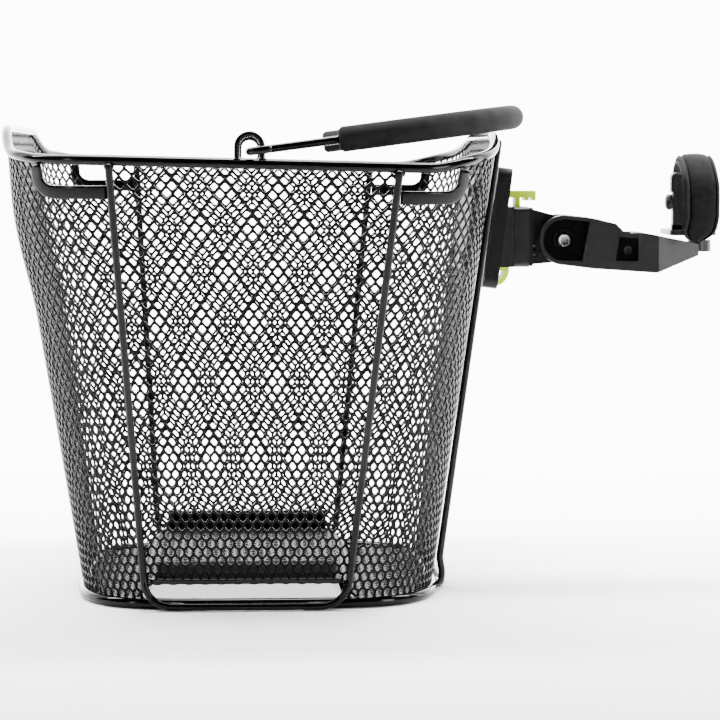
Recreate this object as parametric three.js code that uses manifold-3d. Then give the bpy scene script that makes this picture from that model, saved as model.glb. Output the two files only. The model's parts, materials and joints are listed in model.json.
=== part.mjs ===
// A bicycle's handlebar basket: a wire-framed expanded-metal basket with a carry handle, and the
// quick-release adapter, tilting arm and strap that hold it on the stem.
// Millimetres, +Z up. +X points back to the rider, -Y is the bicycle's left side.

import * as THREE from 'three';
import { mergeVertices } from 'three/addons/utils/BufferGeometryUtils.js';
import Module from 'manifold-3d';

const wasm = await Module();
wasm.setup();

// ---------------------------------------------------------------- driving dimensions

const GAP = 0.3; // clearance between touching pieces

// Basket body. X is measured from the handle's pivots, Z from the surface that it stands on.
const RIM = { front: -139, rear: 141.5, halfWidth: 167, power: 4.8, radius: 2.75 };
const BASE = { front: -99.5, rear: 108, halfWidth: 109, power: 4.2, radius: 3.2 };
const RIM_SIDE_Z = 253.3; // centre of the rim wire halfway along a side
const RIM_SIDE_FALL = 3.4; // how far it falls from there towards the rear
// Rise of the rim at each end: it starts at a share of the half length, is full across the middle out
// to flatHalf, and has fallen to cornerShare of itself at edgeHalf.
const FRONT_RISE = { height: 16, start: 0.82, flatHalf: 75, edgeHalf: 130, cornerShare: 0.2 };
const REAR_RISE = { height: 19, start: 0.68, flatHalf: 60, edgeHalf: 140, cornerShare: 0.45 };
const WALL_FOOT_Z = 2 * BASE.radius + GAP;
const WALL_THICKNESS = 1.6;
const FRONT_FLARE = 3; // the front wall bulges out under the rim
const OUTLINE_STEPS = 64;

// Wire frames on the outside of the walls
const FRAME_WIRE = 2.1; // radius
const SIDE_FRAME = { front: -75.8, rear: 81, footFront: -60, footRear: 54.5 };
const REAR_FRAME = { topHalf: 70, footHalf: 48 };
const FRAME_CORNER = 17;

// Strap windows under the rim, and slots at the foot of the side walls
const FRONT_WINDOW = { inner: -79, outer: -110 };
const REAR_WINDOW = { inner: 84, outer: 111.5 };
const WINDOW_HEIGHT = 10.6;
const STRIP = { width: 7.6, thickness: 2.2, bend: 9.5 };
const SLOT_TOP_Z = 15.8;

const FRONT_PLATE = { width: 60, height: 22, thickness: 1.6, z: 143 };

// Floor
const FLOOR_THICKNESS = 1.2;
const FLOOR_Z = 4.2;
const TUNNEL = { front: -57, rear: 52, topZ: 15, run: 10 };
const FLANGE_HEIGHT = 9;

// Carry handle
const EYE = { wire: 1.55, radius: 7, rise: 6.6 };
const PIVOT_DROP = 2.6; // the hooks hang below the middle of the eyes
const HANDLE_WIRE = 2.25;
const HOOK_RADIUS = 4.3;
const HOOK_LENGTH = 10;
const HANDLE_REST_DEG = 7.5;
const GRIP = { start: 49.5, tip: 157.8, halfWidth: 151, power: 2.5, radius: 7 };

// Back plate and the adapter that clicks on to it
const PLATE = { width: 96, height: 71.8, thickness: 8.3, corner: 6, z: 215.6, frontX: 142.42 };
const PLATE_TILT = THREE.MathUtils.degToRad(7.5);
const CLAMP = { width: 84, height: 56, thickness: 3 };
const SCREW = { radius: 2, head: 4, headHeight: 2.4, spanY: 33, spanZ: 20, reach: 5.3, bore: 6.3 };
const ADAPTER = { bottomZ: 191, topZ: 227, seamX: 158.5, rearX: 167.6, width: 46 };
const FLANGE = { frontX: 167.9, rearX: 170.2, width: 40 };
const NECK_SCREW = { y: 14.5, z: 201, radius: 1.5, head: 3.2, headHeight: 2, length: 9 };
const LATCH = { width: 18, channel: 3.3 };
const POCKET = { frontX: 159.8, rearX: 164.5, floorZ: 216, half: 8.5, bore: 2.2 };
const SPRING = { x: 162.1, radius: 1.4, wire: 0.6, bottomZ: 204.4, topZ: 221.6 };
const BLADE = { bottomZ: 184, near: 0.5, far: 2.9 };
const TAB = { bottomZ: 232.6, topZ: 236.6, frontX: 154.5, rearX: 173, lip: 2.1, lipZ: 230.8 };
const LEG = { frontX: 160.6, rearX: 163.6, half: 7.5, bottomZ: 222 };
const RIB = { frontX: 166.2, rearX: 168.9 };
const CURL = { z: 188.6, radius: 9.8, thickness: 3 };

// Arm
const PIVOT = { x: 189.5, z: 207, radius: 15, bolt: 2.5, head: 4.1 };
const TONGUE_HALF = 9;
const CHEEK = { inner: 10.8, outer: 17 };
const RECESS_FLOOR = 14; // distance of both recesses' floors from the middle
const RECESS = {
  border: 2.4,
  lowReach: 11,
  highReach: 15.5,
  window: [[220.8, 194.4], [234.6, 194.2], [234.6, 208], [223, 208.8]],
};
const CREASE_X = 247;
const CREASE_Z = { bottomZ: 187.4, topZ: 209.6 };
const BOLT_END = 2.4; // how far a bolt stands out past a recess's floor
const NOSE = { x: 272.4, inner: 5.4, outer: 10.2, bottomZ: 197.5, topZ: 204.4 };
const NOSE_BLOCK = { x: 272.8, radius: 8.6, bottomZ: 199.6, topZ: 206.6 };
const CROSS_BOLT = { x: 228.4, z: 200.9, radius: 1.5, head: 2.9, spacer: 4 };

// Stem saddle and strap
const SADDLE = { front: 253.5, rear: 281.5, bottomZ: 209.9, topZ: 213, halfWidth: 22 };
const LOOP = { z: 232, halfWidth: 24, height: 22.2, leftEndZ: 207, rightEndZ: 214 };
const PAD = { front: 260, rear: 280.8, thickness: 4.2 };
const INNER_STRAP = { front: 261, rear: 275, thickness: 1.8 };
const BUCKLE = { front: 254.2, rear: 259.6, bottomZ: 213.3, topZ: 247, outerY: -23.4, innerY: -17.4 };
const KNOB = { y: -20.4, z: 230, radius: 4.9, length: 4, stem: 1.5, depth: 3 };

// ---------------------------------------------------------------- geometry helpers

const lerp = THREE.MathUtils.lerp;
const clamp01 = (t) => Math.min(1, Math.max(0, t));
const smooth = (t) => clamp01(t) ** 2 * (3 - 2 * clamp01(t));
const at = (x, y, z) => new THREE.Vector3(x, y, z);

function signedVolume(points, faces) {
  let sum = 0;
  for (const [a, b, c] of faces) {
    sum += points[a].dot(points[b].clone().cross(points[c]));
  }
  return sum / 6;
}

// A closed body through rings of equal point count. An open stack of rings is capped at both ends,
// and a stack that returns to its first ring is closed into itself.
function skin(rings, returns = false) {
  const count = rings[0].length;
  const points = rings.flat();
  const faces = [];
  const bands = returns ? rings.length : rings.length - 1;
  for (let r = 0; r < bands; r += 1) {
    const next = (r + 1) % rings.length;
    for (let i = 0; i < count; i += 1) {
      const j = (i + 1) % count;
      const [a, b, c, d] = [r * count + i, r * count + j, next * count + j, next * count + i];
      faces.push([a, b, c], [a, c, d]);
    }
  }
  if (!returns) {
    const last = (rings.length - 1) * count;
    for (let i = 1; i < count - 1; i += 1) {
      faces.push([0, i + 1, i], [last, last + i, last + i + 1]);
    }
  }
  const outward = signedVolume(points, faces) > 0;
  const geometry = new THREE.BufferGeometry();
  const coordinates = points.flatMap((p) => p.toArray());
  geometry.setAttribute('position', new THREE.Float32BufferAttribute(coordinates, 3));
  geometry.setIndex(faces.flatMap(([a, b, c]) => (outward ? [a, b, c] : [a, c, b])));
  return geometry;
}

// The section of a bar that follows a path. The reference direction keeps the section from turning:
// section points are (across, along the reference).
function sections(path, section, reference, closed = false) {
  const count = path.length;
  return path.map((point, i) => {
    const before = closed ? path[(i + count - 1) % count] : path[Math.max(i - 1, 0)];
    const after = closed ? path[(i + 1) % count] : path[Math.min(i + 1, count - 1)];
    const tangent = after.clone().sub(before).normalize();
    const across = tangent.clone().cross(reference).normalize();
    const upward = across.clone().cross(tangent);
    return section.map(([a, u]) => point.clone().addScaledVector(across, a).addScaledVector(upward, u));
  });
}

function roundSection(radius, sides = 8) {
  const angles = Array.from({ length: sides }, (_, i) => ((i + 0.5) * 2 * Math.PI) / sides);
  return angles.map((a) => [radius * Math.cos(a), radius * Math.sin(a)]);
}

const wire = (path, radius, reference, closed = false, sides = 8) =>
  skin(sections(path, roundSection(radius, sides), reference, closed), closed);

const extruded = (shape, depth, curveSegments) =>
  new THREE.ExtrudeGeometry(shape, { depth, bevelEnabled: false, curveSegments });

// A closed outline drawn in X and Z, extruded along Y between two values.
function slab(shape, fromY, toY, curveSegments = 8) {
  return extruded(shape, toY - fromY, curveSegments).rotateX(Math.PI / 2).translate(0, toY, 0);
}

const polygon = (corners) => new THREE.Shape(corners.map(([x, z]) => new THREE.Vector2(x, z)));

function roundedRectangle(x0, y0, x1, y1, r) {
  const shape = new THREE.Shape();
  shape.moveTo(x0 + r, y0);
  shape.lineTo(x1 - r, y0);
  shape.absarc(x1 - r, y0 + r, r, -Math.PI / 2, 0, false);
  shape.lineTo(x1, y1 - r);
  shape.absarc(x1 - r, y1 - r, r, 0, Math.PI / 2, false);
  shape.lineTo(x0 + r, y1);
  shape.absarc(x0 + r, y1 - r, r, Math.PI / 2, Math.PI, false);
  shape.lineTo(x0, y0 + r);
  shape.absarc(x0 + r, y0 + r, r, Math.PI, Math.PI * 1.5, false);
  return shape;
}

const block = (x0, y0, z0, x1, y1, z1) =>
  new THREE.BoxGeometry(x1 - x0, y1 - y0, z1 - z0).translate((x0 + x1) / 2, (y0 + y1) / 2, (z0 + z1) / 2);

// A round rod, along Y unless turned
const rodY = (x, y0, y1, z, radius, sides = 16) =>
  new THREE.CylinderGeometry(radius, radius, y1 - y0, sides).translate(x, (y0 + y1) / 2, z);

const rodX = (x0, x1, y, z, radius, sides = 16) =>
  new THREE.CylinderGeometry(radius, radius, x1 - x0, sides)
    .rotateZ(Math.PI / 2)
    .translate((x0 + x1) / 2, y, z);

// A ring with a rectangular section round an axis along Y
function washerY(x, y0, y1, z, inner, outer, sides = 20) {
  const profile = [[inner, y0], [outer, y0], [outer, y1], [inner, y1], [inner, y0]];
  return new THREE.LatheGeometry(profile.map(([r, y]) => new THREE.Vector2(r, y)), sides).translate(x, 0, z);
}

// ---------------------------------------------------------------- boolean helpers

function solid(geometry) {
  const bare = geometry.clone();
  bare.deleteAttribute('normal');
  bare.deleteAttribute('uv');
  const merged = mergeVertices(bare, 1e-4);
  const kept = [];
  for (let i = 0; i < merged.index.count; i += 3) {
    const [a, b, c] = [0, 1, 2].map((k) => merged.index.getX(i + k));
    if (a !== b && b !== c && c !== a) kept.push(a, b, c);
  }
  const vertProperties = new Float32Array(merged.attributes.position.array);
  return new wasm.Manifold(new wasm.Mesh({ numProp: 3, vertProperties, triVerts: new Uint32Array(kept) }));
}

function geometryOf(manifold) {
  const mesh = manifold.getMesh();
  const geometry = new THREE.BufferGeometry();
  geometry.setAttribute('position', new THREE.Float32BufferAttribute(mesh.vertProperties, 3));
  geometry.setIndex(Array.from(mesh.triVerts));
  return geometry;
}

const joined = (...geometries) => geometryOf(geometries.map(solid).reduce((sum, part) => sum.add(part)));

const cut = (geometry, ...tools) =>
  geometryOf(tools.map(solid).reduce((rest, tool) => rest.subtract(tool), solid(geometry)));

const common = (a, b) => geometryOf(solid(a).intersect(solid(b)));

// ---------------------------------------------------------------- materials

const finish = (color, roughness, metalness) =>
  new THREE.MeshStandardMaterial({ color, roughness, metalness });

const paintedWire = finish(0x0b0b0c, 0.25, 0.4);
const blackPlastic = finish(0x1a1a1b, 0.5, 0);
const limePlastic = finish(0xb4cc2c, 0.4, 0);
const foam = finish(0x1c1c1d, 0.9, 0);
const strapCloth = finish(0x19191a, 0.85, 0);
const steel = finish(0xb9bbbd, 0.3, 1);

// ---------------------------------------------------------------- the basket's outline

// A level outline with bowed sides and generous corners, as points evenly spaced along it
function outline({ front, rear, halfWidth, power }) {
  const centre = (front + rear) / 2;
  const halfLength = (rear - front) / 2;
  const bend = (value) => Math.sign(value) * Math.abs(value) ** (2 / power);
  const samples = Array.from({ length: 4 * OUTLINE_STEPS }, (_, i) => {
    const angle = (i * Math.PI) / (2 * OUTLINE_STEPS);
    return at(centre + halfLength * bend(Math.cos(angle)), halfWidth * bend(Math.sin(angle)), 0);
  });
  return new THREE.CatmullRomCurve3(samples, true).getSpacedPoints(OUTLINE_STEPS).slice(0, OUTLINE_STEPS);
}

// The rim wire rises at the front and at the rear
function rimHeight(x, y) {
  const centre = (RIM.front + RIM.rear) / 2;
  const along = (x - centre) / ((RIM.rear - RIM.front) / 2);
  const { height, start, flatHalf, edgeHalf, cornerShare } = along < 0 ? FRONT_RISE : REAR_RISE;
  const towardsCorner = smooth((Math.abs(y) - flatHalf) / (edgeHalf - flatHalf));
  const towardsEnd = smooth((Math.abs(along) - start) / (1 - start));
  const rise = height * lerp(1, cornerShare, towardsCorner) * towardsEnd;
  return RIM_SIDE_Z - RIM_SIDE_FALL * along + rise;
}

const rimLine = outline(RIM).map((p) => at(p.x, p.y, rimHeight(p.x, p.y)));
const baseLine = outline(BASE).map((p) => at(p.x, p.y, BASE.radius));

// A point of the wall's middle surface: column along the outline, share of the height
function wallPoint(column, share) {
  const low = baseLine[column];
  const high = rimLine[column];
  const point = at(lerp(low.x, high.x, share), lerp(low.y, high.y, share), 0);
  const wallTop = high.z - RIM.radius - GAP;
  point.z = lerp(WALL_FOOT_Z, wallTop, share);
  const frontness = clamp01(-2 * (high.x / (RIM.rear - RIM.front)));
  const bulge = smooth((share - 0.62) / 0.2) * (1 - smooth((share - 0.84) / 0.16));
  point.x -= FRONT_FLARE * bulge * frontness ** 2;
  return point;
}

// The same point by its height. Below its foot the wall is taken to go straight down.
function wallAtHeight(column, z) {
  const wallTop = rimLine[column].z - RIM.radius - GAP;
  const point = wallPoint(column, clamp01((z - WALL_FOOT_Z) / (wallTop - WALL_FOOT_Z)));
  return at(point.x, point.y, z);
}

// Where the wall's middle surface crosses a plane of constant x or y at height z. The other level
// coordinate has the given sign.
function onWall(z, axis, value, sign) {
  const other = axis === 'x' ? 'y' : 'x';
  for (let column = 0; column < OUTLINE_STEPS; column += 1) {
    const a = wallAtHeight(column, z);
    const b = wallAtHeight((column + 1) % OUTLINE_STEPS, z);
    const crosses = (a[axis] - value) * (b[axis] - value) <= 0 && a[axis] !== b[axis];
    if (crosses && Math.sign(a[other] + b[other]) === sign) {
      return a.lerp(b, (value - a[axis]) / (b[axis] - a[axis]));
    }
  }
  throw new Error(`the wall has no point at ${axis} ${value}`);
}

const sidePoint = (x, z, side) => onWall(z, 'x', x, side);
const endPoint = (y, z, end) => onWall(z, 'y', y, end);

// ---------------------------------------------------------------- basket pieces

function levelNormal(column) {
  const before = rimLine[(column + OUTLINE_STEPS - 1) % OUTLINE_STEPS];
  const after = rimLine[(column + 1) % OUTLINE_STEPS];
  return at(after.y - before.y, before.x - after.x, 0).normalize();
}

function wallRing(share, offset) {
  return rimLine.map((_, column) => wallPoint(column, share).addScaledVector(levelNormal(column), offset));
}

function windowTools() {
  const tools = [];
  for (const { inner, outer } of [FRONT_WINDOW, REAR_WINDOW]) {
    for (const side of [-1, 1]) {
      const [x0, x1] = [Math.min(inner, outer), Math.max(inner, outer)];
      const [y0, y1] = side < 0 ? [-RIM.halfWidth - 10, -90] : [90, RIM.halfWidth + 10];
      tools.push(block(x0, y0, windowFloor(outer), x1, y1, 262));
    }
  }
  return tools;
}

function meshWall() {
  const shares = [0, 0.62, 0.72, 0.82, 0.91, 1];
  const outside = shares.map((share) => wallRing(share, WALL_THICKNESS / 2));
  const inside = shares.map((share) => wallRing(share, -WALL_THICKNESS / 2)).reverse();
  const shell = skin([...outside, ...inside], true);
  const slot = block(TUNNEL.front, -BASE.halfWidth - 20, 0, TUNNEL.rear, BASE.halfWidth + 20, SLOT_TOP_Z);
  return cut(shell, slot, ...windowTools());
}

function meshFloor() {
  const { front, rear, topZ, run } = TUNNEL;
  const t = FLOOR_THICKNESS;
  const upper = [[BASE.front - 5, FLOOR_Z], [front - run, FLOOR_Z], [front, topZ], [rear, topZ]];
  upper.push([rear + run, FLOOR_Z], [BASE.rear + 5, FLOOR_Z]);
  const lower = upper.map(([x, z]) => [x, z - t]).reverse();
  const sheet = slab(polygon([...upper, ...lower]), -BASE.halfWidth, BASE.halfWidth);
  const inset = BASE.radius + GAP;
  const inside = outline({
    front: BASE.front + inset,
    rear: BASE.rear - inset,
    halfWidth: BASE.halfWidth - inset,
    power: BASE.power,
  });
  const prism = skin([inside.map((p) => at(p.x, p.y, 0)), inside.map((p) => at(p.x, p.y, 40))]);
  const edge = BASE.halfWidth - inset - 2;
  const flanges = [-1, 1].map((side) => {
    const [y0, y1] = side < 0 ? [-edge, -edge + t] : [edge - t, edge];
    return block(front + 2, y0, topZ - t / 2, rear - 2, y1, topZ + FLANGE_HEIGHT);
  });
  return joined(common(sheet, prism), ...flanges);
}

const topRim = () => wire(rimLine, RIM.radius, at(0, 0, 1), true, 8);

// Eight sides with one facet level, so that the ring stands on a flat
const baseRing = () => wire(baseLine, BASE.radius / Math.cos(Math.PI / 8), at(0, 0, 1), true, 8);

// A U of wire: down one leg, round two corners and up the other. The corners are in the wall's plane.
function uPath(legTop, footCorner, footZ, surface) {
  const [x0, x1] = footCorner;
  const steps = 6;
  const points = [];
  const legDirection = (top, foot) => new THREE.Vector2(foot - top[0], footZ - top[1]).normalize();
  const d0 = legDirection(legTop[0], x0);
  const d1 = legDirection(legTop[1], x1);
  const start = new THREE.Vector2(x0, footZ).addScaledVector(d0, -FRAME_CORNER);
  const end = new THREE.Vector2(x1, footZ).addScaledVector(d1, -FRAME_CORNER);
  const corner = (from, middle, to) => new THREE.QuadraticBezierCurve(from, middle, to).getPoints(steps);
  const bar0 = new THREE.Vector2(x0 + FRAME_CORNER, footZ);
  const bar1 = new THREE.Vector2(x1 - FRAME_CORNER, footZ);
  const legSteps = [0, 0.06, 0.12, 0.2, 0.5];
  for (const t of legSteps) {
    points.push(new THREE.Vector2(lerp(legTop[0][0], start.x, t), lerp(legTop[0][1], start.y, t)));
  }
  points.push(...corner(start, new THREE.Vector2(x0, footZ), bar0));
  points.push(...corner(bar1, new THREE.Vector2(x1, footZ), end));
  for (const t of legSteps.slice().reverse()) {
    points.push(new THREE.Vector2(lerp(legTop[1][0], end.x, t), lerp(legTop[1][1], end.y, t)));
  }
  return points.map((p) => surface(p.x, p.y));
}

const LEG_OFFSET = WALL_THICKNESS / 2 + GAP + FRAME_WIRE;
const FOOT_OFFSET = BASE.radius / Math.cos(Math.PI / 8) + 2 * GAP + FRAME_WIRE;

// Low down, a frame stands outside the base ring. Higher up, it lies against the mesh.
const standOff = (z) => lerp(FOOT_OFFSET, LEG_OFFSET, smooth((z - 8) / 14));

function sideFrame(side) {
  const topZ = (x) => rimHeight(x, RIM.halfWidth) - RIM.radius - FRAME_WIRE - 0.5;
  const tops = [[SIDE_FRAME.front, topZ(SIDE_FRAME.front)], [SIDE_FRAME.rear, topZ(SIDE_FRAME.rear)]];
  const surface = (x, z) => sidePoint(x, z, side).add(at(0, side * standOff(z), 0));
  const path = uPath(tops, [SIDE_FRAME.footFront, SIDE_FRAME.footRear], FRAME_WIRE + GAP, surface);
  return wire(path, FRAME_WIRE, at(0, 1, 0));
}

function rearFrame() {
  const topZ = rimHeight(RIM.rear, REAR_FRAME.topHalf) - RIM.radius - FRAME_WIRE - 0.5;
  const tops = [[-REAR_FRAME.topHalf, topZ], [REAR_FRAME.topHalf, topZ]];
  const surface = (y, z) => endPoint(y, z, 1).add(at(standOff(z), 0, 0));
  const path = uPath(tops, [-REAR_FRAME.footHalf, REAR_FRAME.footHalf], FRAME_WIRE + GAP, surface);
  return wire(path, FRAME_WIRE, at(1, 0, 0));
}

// A blank plate on the front wall
function frontPlate() {
  const { width, height, thickness, z } = FRONT_PLATE;
  const plate = plateBoard(width, height, 4, 0, thickness);
  const top = endPoint(0, z + height / 2, -1);
  const foot = endPoint(0, z - height / 2, -1);
  const lean = Math.atan2(top.x - foot.x, height);
  const middle = endPoint(0, z, -1);
  return plate.rotateY(lean).translate(middle.x - WALL_THICKNESS / 2 - 2 * GAP - thickness, 0, z);
}

// The rim's height over a given X on the side walls
const rimOver = (x) => rimHeight(x, sidePoint(x, RIM_SIDE_Z, 1).y);
const windowFloor = (outer) => rimOver(outer) - RIM.radius - WINDOW_HEIGHT;
const stripTop = (x) => rimOver(x) - RIM.radius - 3 * GAP;

// A flat strip along a window's lower edge, which turns up to the rim at its outer end
function windowStrip({ inner, outer }, side) {
  const direction = Math.sign(outer - inner);
  const z0 = windowFloor(outer) - STRIP.width / 2 - GAP;
  const { bend } = STRIP;
  const far = outer + direction * (STRIP.width / 2 + GAP);
  const centreX = far - direction * bend;
  const flat = [[inner, z0], [(inner + centreX) / 2, z0]];
  for (let i = 0; i <= 5; i += 1) {
    const angle = (i * Math.PI) / 10;
    flat.push([centreX + direction * bend * Math.sin(angle), z0 + bend * (1 - Math.cos(angle))]);
  }
  flat.push([far + direction, stripTop(far)]);
  const proud = WALL_THICKNESS / 2 + 4 * GAP + STRIP.thickness / 2;
  const path = flat.map(([x, z]) => {
    const point = sidePoint(x, z, side);
    const alongX = sidePoint(x + 1, z, side).sub(point);
    const alongZ = sidePoint(x, z + 1, side).sub(point);
    const normal = alongX.cross(alongZ).normalize();
    if (normal.y * side < 0) normal.negate();
    return { point: point.addScaledVector(normal, proud), normal };
  });
  const half = [STRIP.thickness / 2, STRIP.width / 2];
  const rings = path.map(({ point, normal }, i) => {
    const before = path[Math.max(i - 1, 0)].point;
    const after = path[Math.min(i + 1, path.length - 1)].point;
    const tangent = after.clone().sub(before).normalize();
    const broad = tangent.clone().cross(normal).normalize();
    const corners = [[-1, -1], [1, -1], [1, 1], [-1, 1]];
    return corners.map(([n, b]) =>
      point.clone().addScaledVector(normal, n * half[0]).addScaledVector(broad, b * half[1]));
  });
  return skin(rings);
}

const eyeZ = rimHeight(0, RIM.halfWidth) + RIM.radius + EYE.rise;

// An arch of wire standing on the rim. The handle's hook turns inside it.
function handleEye(side) {
  const y = side * RIM.halfWidth;
  const footZ = eyeZ - EYE.rise + GAP;
  const path = [at(-EYE.radius, y, footZ)];
  for (let i = 0; i <= 8; i += 1) {
    const angle = Math.PI - (i * Math.PI) / 8;
    path.push(at(EYE.radius * Math.cos(angle), y, eyeZ + EYE.radius * Math.sin(angle)));
  }
  path.push(at(EYE.radius, y, footZ));
  return wire(path, EYE.wire, at(0, 1, 0), false, 8);
}

// ---------------------------------------------------------------- carry handle

// The handle is flat. Its points are (reach from the pivots, Y), turned up by the rest angle.
function handlePoint([reach, y]) {
  return at(reach * Math.cos(handleTilt), y, eyeZ - PIVOT_DROP + reach * Math.sin(handleTilt));
}

function gripArch(steps) {
  const { start, tip, halfWidth, power } = GRIP;
  const bend = (value) => Math.sign(value) * Math.abs(value) ** (2 / power);
  return Array.from({ length: steps + 1 }, (_, i) => {
    const angle = -Math.PI / 2 + (i * Math.PI) / steps;
    return [start + (tip - start) * Math.abs(bend(Math.cos(angle))), halfWidth * bend(Math.sin(angle))];
  });
}

function hook(side) {
  const y = side * RIM.halfWidth;
  const points = [[HOOK_LENGTH, y + side * HOOK_RADIUS]];
  for (let i = 0; i <= 6; i += 1) {
    const angle = Math.PI / 2 + (i * Math.PI) / 6;
    points.push([HOOK_RADIUS * (1 + Math.cos(angle)), y + side * HOOK_RADIUS * Math.sin(angle)]);
  }
  return points;
}

const handleTilt = THREE.MathUtils.degToRad(HANDLE_REST_DEG);
const handleNormal = at(Math.sin(handleTilt), 0, -Math.cos(handleTilt));

function handleBail() {
  const arch = gripArch(24);
  const path = [...hook(-1), ...arch, ...hook(1).reverse()];
  return wire(path.map(handlePoint), HANDLE_WIRE, handleNormal, false, 8);
}

function handleGrip() {
  const path = gripArch(24).map(handlePoint);
  const outer = sections(path, roundSection(GRIP.radius, 10), handleNormal);
  const inner = sections(path, roundSection(HANDLE_WIRE / Math.cos(Math.PI / 8) + GAP, 10), handleNormal);
  return skin([...outer, ...inner.reverse()], true);
}

// ---------------------------------------------------------------- plate, clamp and adapter

// Geometry drawn on the plate's tilted plane: x is outward from the plate's front face, z is up the slope
const onPlate = (geometry) => geometry.rotateY(PLATE_TILT).translate(PLATE.frontX, 0, PLATE.z);

function plateBoard(width, height, corner, x0, x1) {
  const shape = roundedRectangle(-width / 2, -height / 2, width / 2, height / 2, corner);
  return extruded(shape, x1 - x0, 4).rotateZ(Math.PI / 2).rotateY(Math.PI / 2).translate(x0, 0, 0);
}

const screwPlaces = [[-1, -1], [-1, 1], [1, -1], [1, 1]].map(([a, b]) => [a * SCREW.spanY, b * SCREW.spanZ]);
const CLAMP_FACE = -10; // the clamp plate's outer face, measured back from the plate's front face

function backPlate() {
  const board = plateBoard(PLATE.width, PLATE.height, PLATE.corner, 0, PLATE.thickness);
  const holes = screwPlaces.map(([y, z]) => rodX(-1, SCREW.bore, y, z, SCREW.radius + GAP, 12));
  return onPlate(cut(board, ...holes));
}

function clampPlate() {
  const board = plateBoard(CLAMP.width, CLAMP.height, 8, CLAMP_FACE - CLAMP.thickness, CLAMP_FACE);
  const x = CLAMP_FACE - CLAMP.thickness - 1;
  const holes = screwPlaces.map(([y, z]) => rodX(x, CLAMP_FACE + 1, y, z, SCREW.radius + GAP, 12));
  return onPlate(cut(board, ...holes));
}

// The screws go through the open mesh into the back plate
function plateScrew([y, z]) {
  const headBack = CLAMP_FACE - CLAMP.thickness - GAP;
  const head = rodX(headBack - SCREW.headHeight, headBack, y, z, SCREW.head, 12);
  const shank = rodX(headBack - 1, SCREW.reach, y, z, SCREW.radius, 12);
  return onPlate(joined(head, shank));
}

const screwHoles = () =>
  screwPlaces.map(([y, z]) => onPlate(rodX(CLAMP_FACE, 0, y, z, SCREW.radius + 2 * GAP, 12)));

// X of the plate's rear face at height z, plus a clearance measured off the plate
function plateRearX(z, clearance) {
  const slope = (z - PLATE.z) * Math.tan(PLATE_TILT);
  return PLATE.frontX + slope + (PLATE.thickness + clearance) / Math.cos(PLATE_TILT);
}

// An outline between two heights and two clearances from the plate's rear face
function alongPlate(z0, z1, near, far) {
  const corners = [[z0, near], [z0, far], [z1, far], [z1, near]];
  return polygon(corners.map(([z, clearance]) => [plateRearX(z, clearance), z]));
}

function adapterHousing() {
  const { bottomZ, topZ, seamX, width } = ADAPTER;
  const front = [plateRearX(topZ, GAP), plateRearX(bottomZ, GAP)];
  const profile = [[front[1], bottomZ], [seamX, bottomZ], [seamX, topZ], [front[0], topZ]];
  const wedge = slab(polygon(profile), -width / 2, width / 2);
  const half = LATCH.width / 2 + GAP;
  const channel = slab(alongPlate(bottomZ - 2, topZ + 2, -2, LATCH.channel), -half, half);
  return cut(wedge, channel);
}

function adapterCover() {
  const { bottomZ, topZ, seamX, rearX, width } = ADAPTER;
  const shape = roundedRectangle(-width / 2, bottomZ, width / 2, topZ, 3);
  const board = extruded(shape, rearX - seamX - GAP, 4);
  board.rotateX(Math.PI / 2).rotateZ(Math.PI / 2).translate(seamX + GAP, 0, 0);
  const { floorZ, half, bore } = POCKET;
  const pocket = block(POCKET.frontX, -half, floorZ, POCKET.rearX, half, topZ + 1);
  const springFoot = SPRING.bottomZ - GAP;
  const springBore = block(SPRING.x - bore, -bore, springFoot, SPRING.x + bore, bore, floorZ + 1);
  const bores = neckScrewBores(FLANGE.rearX - NECK_SCREW.length, rearX + 1);
  return cut(board, joined(pocket, springBore), ...bores);
}

function latchSpring() {
  const { x, radius, wire: half, bottomZ, topZ } = SPRING;
  const [inner, outer] = [radius - half, radius + half];
  const profile = [[inner, bottomZ], [outer, bottomZ], [outer, topZ], [inner, topZ], [inner, bottomZ]];
  const points = profile.map(([r, z]) => new THREE.Vector2(r, z));
  return new THREE.LatheGeometry(points, 12).rotateX(Math.PI / 2).translate(x, 0, 0);
}

// A quarter round that hangs from its front end, drawn in X and Z
function curlShape({ x, z, radius, thickness }) {
  const shape = new THREE.Shape();
  const end = -Math.PI / 2 + 0.05;
  shape.moveTo(x + radius, z);
  shape.absarc(x, z, radius, 0, end, true);
  shape.absarc(x, z, radius - thickness, end, 0, false);
  shape.lineTo(x + radius, z);
  return shape;
}

// The lime slider: a thin blade in the housing's channel, a ribbed tab to press and a curl below
function releaseSlider() {
  const half = LATCH.width / 2;
  const blade = slab(alongPlate(BLADE.bottomZ, TAB.topZ, BLADE.near, BLADE.far), -half, half);
  const tab = block(TAB.frontX, -half, TAB.bottomZ, TAB.rearX, half, TAB.topZ);
  const leg = block(LEG.frontX, -LEG.half, LEG.bottomZ, LEG.rearX, LEG.half, TAB.bottomZ + 1);
  const rib = block(RIB.frontX, -LEG.half, TAB.lipZ, RIB.rearX, LEG.half, TAB.bottomZ + 1);
  const lip = block(TAB.rearX - TAB.lip, -half, TAB.lipZ, TAB.rearX, half, TAB.bottomZ + 1);
  const foot = { x: plateRearX(BLADE.bottomZ, BLADE.near), ...CURL };
  const curl = slab(curlShape(foot), -half, half, 6);
  const bridge = block(foot.x + 1.2, -half, foot.z - 0.4, foot.x + foot.radius, half, foot.z + 2.2);
  return joined(blade, tab, leg, rib, lip, curl, bridge);
}

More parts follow.
